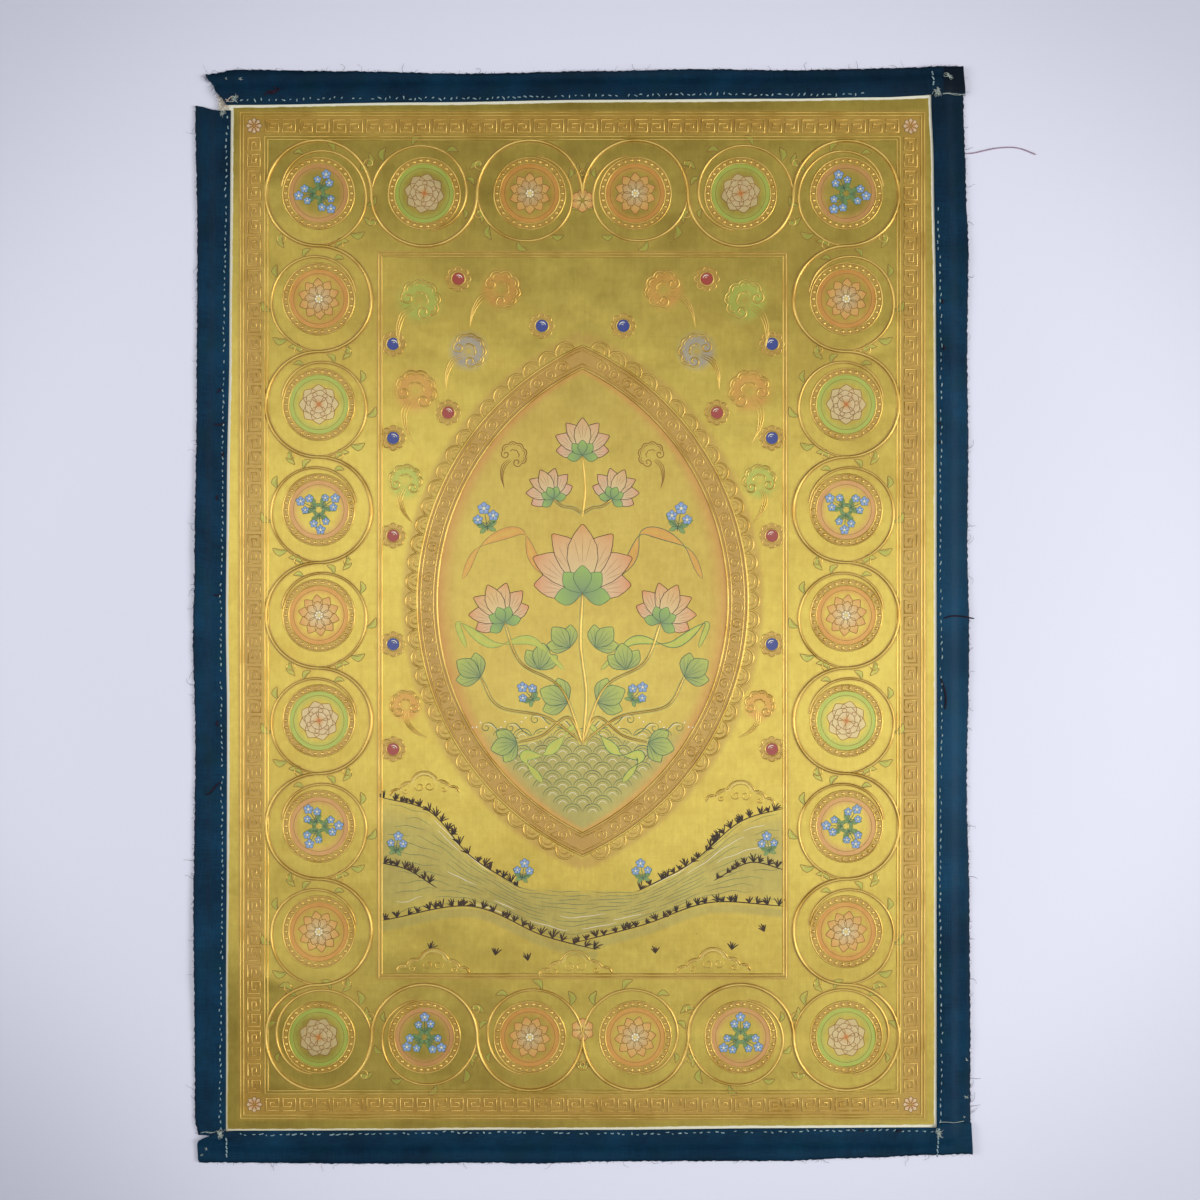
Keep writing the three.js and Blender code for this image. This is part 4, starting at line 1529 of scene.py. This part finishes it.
# Knots and tufts of pale thread at the corners: the strip, x, y, radius and strands
TUFTS = [
    ("top", 194.6, 287.2, 1.9, 26),
    ("top", 201.0, 296.0, 1.8, 14),
    ("top", -196.0, 295.2, 0.7, 5),
    ("top", -188.0, 294.8, 0.8, 6),
    ("top", -191.0, 284.0, 1.6, 16),
    ("left", -197.6, 275.4, 1.4, 14),
    ("bottom", 195.4, -283.6, 1.8, 20),
    ("bottom", -198.6, -284.6, 2.0, 22),
    ("bottom", -207.0, -293.4, 0.7, 5),
    ("bottom", -209.6, -296.6, 0.6, 5),
    ("right", 211.2, -244.1, 0.8, 6),
    ("right", 211.0, -264.8, 0.9, 8),
    ("right", 209.8, -276.0, 0.6, 5),
]

# Lines of stitches that hold the corners: the strip, their first and last places, and their number
CORNER_SEAMS = [
    ("top", (192.4, 290.2), (192.0, 299.0), 3),
    ("bottom", (195.0, -285.0), (194.8, -298.0), 5),
    ("bottom", (-195.2, -286.2), (-195.8, -298.2), 5),
]


# Pale seam ends at the corners: the strip, and their first and last places
SEAM_ENDS = [
    ("top", (197.6, 286.2), (210.4, 286.6)),
    ("right", (196.0, -278.6), (209.8, -278.4)),
    ("left", (-210.0, -284.6), (-199.0, -283.2)),
]

THREAD_SUNK = 0.2  # as a share of a thread's half width
STRAND_PLACES = 6  # how many places a loose fibre is drawn through
TORN_FIBRES = 44
NOTCH = -198.4 + 281.6j
NOTCH_THREADS = 90

# Dark bits of thread in the notch
NOTCH_BITS = [
    (-199.6 + 277.6j, -197.2 + 279.8j, -194.6 + 283.2j, -192.4 + 285.0j),
    (-196.0 + 283.4j, -193.6 + 282.0j, -190.8 + 282.8j),
    (-199.0 + 284.0j, -197.6 + 281.0j, -198.4 + 278.6j),
]


def lie_on(strip, places, half):
    """A thread's places, laid on a strip's top face and a little sunk into it."""
    x, y = places.real, places.imag
    return np.column_stack([x, y, strip.top_at(x, y) + half * (1 - THREAD_SUNK)])


def between(start, end, share):
    """The places at shares of the way from one x and y to another."""
    return complex(*start) * (1 - share) + complex(*end) * share


def make_stitches():
    """Tacking along every strip's inner edge, each stitch bowed up between the holes that it dips into."""
    runs = []
    bow = np.linspace(-1, 1, 7)
    for side, (first, last, step, slant, inset) in SEAMS.items():
        strip = STRIPS[side]
        at = first
        while at < last:
            lean = math.radians(chance.normal(0, slant) + (18 if side == "top" else 0))
            long = step * chance.uniform(0.3, 0.54)
            across = inset + chance.normal(0, 0.28) + 0.35 * math.sin(at / 31)
            shares = (at + bow * long / 2 * math.cos(lean)) / strip.length
            x, y, z = strip.spot(shares, across + bow * long / 2 * math.sin(lean))
            half = chance.uniform(0.26, 0.44)
            places = np.column_stack([x, y, z + 0.42 * (1 - bow**2) - 0.12])
            blue = side == "right" or chance.random() < (0.6 if side == "bottom" else 0.3)
            runs.append((places, half * (1 - 0.35 * bow**4), int(blue)))
            if chance.random() < 0.06:
                at += step * 0.8
            at += step * chance.uniform(0.8, 1.2)
    for side, start, end, count in CORNER_SEAMS:
        strip = STRIPS[side]
        for number in range(count):
            middle = between(start, end, (number + 0.5) / count)
            reach = (complex(*end) - complex(*start)) / count * 0.34 * turn(chance.normal(0, 12))
            places = lie_on(strip, middle + bow * reach, 0.4)
            places[:, 2] += 0.3 * (1 - bow**2) - 0.1
            runs.append((places, 0.42, 0))
    pale = thread("pale_sewing_thread", paint(96, 128, 138), paint(164, 188, 190))
    blue = thread("blue_sewing_thread", paint(82, 116, 158), paint(140, 170, 204))
    make_piece(tubes("sewing_stitches", runs, 1), "sewing_stitches", [pale, blue])


def make_left_overs():
    runs = []
    for side, *places in LEFT_OVERS:
        route = flow(*(complex(*place) for place in places), step=0.7)
        share = np.linspace(-1, 1, len(route))
        half = 0.42 * (1 - 0.4 * share**4)
        runs.append((lie_on(STRIPS[side], route, 0.42), half, 0))
    purple = thread("dark_purple_thread", paint(16, 8, 26), paint(44, 20, 40))
    make_piece(tubes("left_over_threads", runs, 1), "left_over_threads", [purple])


def strand(strip, place, heading, length, half, curl, lift):
    """A loose fibre that wanders off from a place."""
    route = [place]
    for _ in range(STRAND_PLACES - 1):
        heading = heading * turn(chance.normal(0, curl))
        route.append(route[-1] + heading * length / (STRAND_PLACES - 1))
    places = lie_on(strip, np.array(route), half)
    places[:, 2] += lift * np.sin(math.pi * np.linspace(0, 1, STRAND_PLACES)) * chance.uniform(0.2, 1)
    return places, half * np.linspace(1, 0.5, STRAND_PLACES)


def make_tufts():
    """Knots and frayed ends of sewing thread, and the seams' pale ends at the corners."""
    runs = []
    for side, x, y, radius, strands in TUFTS:
        for _ in range(strands):
            start = complex(x, y) + turn(chance.uniform(0, 360)) * radius * chance.uniform(0, 0.6)
            heading = turn(chance.uniform(0, 360))
            length = radius * chance.uniform(1.0, 2.0)
            dark = x < -185 and y > 270 and chance.random() < 0.7
            runs.append((*strand(STRIPS[side], start, heading, length, 0.16, 45, radius * 0.5), int(dark)))
    for side, start, end in SEAM_ENDS:
        for _ in range(2):
            share = np.linspace(0, 1, 9)
            sway = chance.uniform(-0.3, 0.3) + 0.35 * np.sin(share * chance.uniform(4, 9))
            route = between(start, end, share) + 1j * sway
            runs.append((lie_on(STRIPS[side], route, 0.2), 0.13, 0))
    pale = thread("pale_tuft_thread", paint(140, 158, 152), paint(204, 210, 198))
    brown = thread("brown_tuft_thread", paint(38, 26, 26), paint(112, 88, 78))
    make_piece(tubes("pale_thread_tufts", runs), "pale_thread_tufts", [pale, brown])


def make_edge_fibres():
    """Short fibres that stand out from the strips' raw edges, most of them navy."""
    runs = []
    for side, strip in STRIPS.items():
        start, end = float(strip.low(1.0)), float(strip.high(1.0))
        at = start + 1
        while at < end - 1:
            edge = float(edge_at(strip.outer, at))
            place = complex(at, edge) if strip.runs == "x" else complex(edge, at)
            outward = strip.out * (1j if strip.runs == "x" else 1)
            heading = outward * turn(chance.normal(0, 45))
            long = chance.uniform(0.8, 2.4) if chance.random() < 0.85 else chance.uniform(3, 7)
            pale = chance.random() < 0.4
            half = 0.07 if pale else 0.1
            runs.append((*strand(strip, place - outward * 0.5, heading, long, half, 28, 0.4), int(pale)))
            at += chance.uniform(0.8, 4.2)
    for _ in range(TORN_FIBRES):
        share = chance.uniform(0, 1)
        place = complex(float(edge_at(TOP_TORN_END, share)) + 0.3, 281 + 16.5 * share)
        heading = turn(180 + chance.normal(25, 40))
        fibre = strand(STRIPS["top"], place, heading, chance.uniform(1, 3.4), 0.1, 35, 0.4)
        runs.append((*fibre, int(share < 0.5)))
    navy = thread("navy_fibre", paint(10, 26, 44), paint(28, 52, 76))
    pale = thread("pale_fibre", paint(150, 156, 170), paint(206, 210, 220))
    make_piece(tubes("edge_fibres", runs), "edge_fibres", [navy, pale])


def make_notch_frays():
    """Frayed canvas threads, and bits of dark thread, at the torn corner's notch."""
    runs = []
    for _ in range(NOTCH_THREADS):
        start = NOTCH + complex(chance.uniform(-1.2, 4.5), chance.uniform(-4.0, 4.6))
        heading = turn(chance.normal(150, 50))
        x, y = np.array([start.real]), np.array([start.imag])
        base = float(swell_at(x, y)[0]) + CANVAS_THICK
        route = [start]
        for _ in range(STRAND_PLACES - 1):
            heading = heading * turn(chance.normal(0, 24))
            route.append(route[-1] + heading * chance.uniform(0.3, 0.75))
        route = np.array(route)
        drop = ease(np.abs(route - start), 0.5, 4)
        height = base * (1 - 0.75 * drop) + chance.uniform(0, 0.5)
        places = np.column_stack([route.real, route.imag, height])
        runs.append((places, chance.uniform(0.09, 0.16) * np.linspace(1, 0.6, STRAND_PLACES), 0))
    for bit in NOTCH_BITS:
        route = flow(*bit, step=0.8)
        height = CANVAS_THICK + STRIP_THICK * ease(route.imag, 280, 283.5) + 0.55
        runs.append((np.column_stack([route.real, route.imag, height]), 0.3, 1))
    canvas = thread("canvas_fray", paint(160, 144, 130), paint(216, 206, 192))
    dark = thread("dark_thread_bits", paint(16, 12, 22), paint(44, 26, 38))
    make_piece(tubes("notch_frays", runs), "notch_frays", [canvas, dark])


# Camera, floor and light

def make_camera():
    height = VIEW_WIDTH * LENS / SENSOR + CANVAS_THICK
    spot = (VIEW_MIDDLE[0] * MM, VIEW_MIDDLE[1] * MM, height * MM)
    bpy.ops.object.camera_add(location=spot, rotation=(0, 0, 0))
    camera = bpy.context.object
    camera.data.lens, camera.data.sensor_width = LENS, SENSOR
    camera.data.clip_start = 0.01
    bpy.context.scene.camera = camera


def area_light(name, spot, size, power, colour, aimed, slant):
    """A soft lamp that is aimed at the middle of the cloth, or shines straight down, turned by a slant."""
    bpy.ops.object.light_add(type="AREA", location=spot)
    lamp = bpy.context.object
    lamp.name = name
    lamp.data.shape = "RECTANGLE"
    lamp.data.size, lamp.data.size_y = size
    lamp.data.energy, lamp.data.color = power, colour
    if aimed:
        x, y, z = spot
        lamp.rotation_euler = (math.atan2(math.hypot(x, y), z), 0, math.atan2(x, -y))
    else:
        lamp.rotation_euler = (0, 0, math.radians(slant))


FLOOR_SIZE = 6
FLOOR_LEVEL = -0.0003
ROOM_COLOUR = (0.9, 0.9, 0.96, 1.0)
ROOM_STRENGTH = 0.13
COOL = (0.96, 0.98, 1.03)

# Lamps: name, place in metres, size, power, colour, whether it is aimed at the cloth, and slant
LAMPS = [
    ("band_light", (-0.1, -0.06, 1.7), (2.2, 0.87), 8.8, COOL, False, -12),
    ("upper_right_glow", (0.62, 0.56, 1.7), (0.7, 0.5), 0.42, COOL, False, 0),
    ("lower_right_glow", (0.4, -0.86, 1.7), (0.9, 0.5), 0.62, COOL, False, 0),
    ("key_light", (1.6, -0.15, 1.1), (0.8, 0.8), 26, (0.98, 0.98, 1.0), True, 0),
    ("side_light", (-1.6, 0.1, 1.0), (0.8, 0.8), 13, (0.96, 0.97, 1.0), True, 0),
]


def make_stage():
    bpy.ops.mesh.primitive_plane_add(size=FLOOR_SIZE, location=(0, 0, FLOOR_LEVEL))
    floor = bpy.context.object
    floor.name = "floor"
    floor.data.materials.append(plain_surface())
    world = bpy.context.scene.world or bpy.data.worlds.new("studio")
    bpy.context.scene.world = world
    world.use_nodes = True
    backdrop = world.node_tree.nodes["Background"]
    backdrop.inputs["Color"].default_value = ROOM_COLOUR
    backdrop.inputs["Strength"].default_value = ROOM_STRENGTH
    for lamp in LAMPS:
        area_light(*lamp)
    bpy.context.scene.view_settings.view_transform = "Standard"


# The loose thread

def make_loose_thread():
    lie = THREAD_DIAMETER / 2 + 0.02
    curve = bpy.data.curves.new("loose_thread_cord", "CURVE")
    curve.dimensions = "3D"
    spline = curve.splines.new("BEZIER")
    spline.bezier_points.add(len(THREAD_POINTS) - 1)
    for point, (x, y) in zip(spline.bezier_points, THREAD_POINTS):
        point.co = (x * MM, y * MM, lie * MM)
        point.handle_left_type = point.handle_right_type = "AUTO"
    curve.bevel_depth = THREAD_DIAMETER / 2 * MM
    curve.bevel_resolution = 3
    curve.resolution_u = 6
    curve.use_fill_caps = True
    obj = bpy.data.objects.new("loose_thread_cord", curve)
    bpy.context.collection.objects.link(obj)
    purple = thread("purple_thread", paint(116, 84, 106), paint(178, 150, 164))
    make_piece(obj, "loose_thread_cord", [purple], ["loose_thread"])


make_camera()
make_loose_thread()
make_stage()
make_canvas()
navy = navy_cloth()
for strip in STRIPS.values():
    strip.make(navy)
make_painting()
make_stitches()
make_left_overs()
make_tufts()
make_edge_fibres()
make_notch_frays()
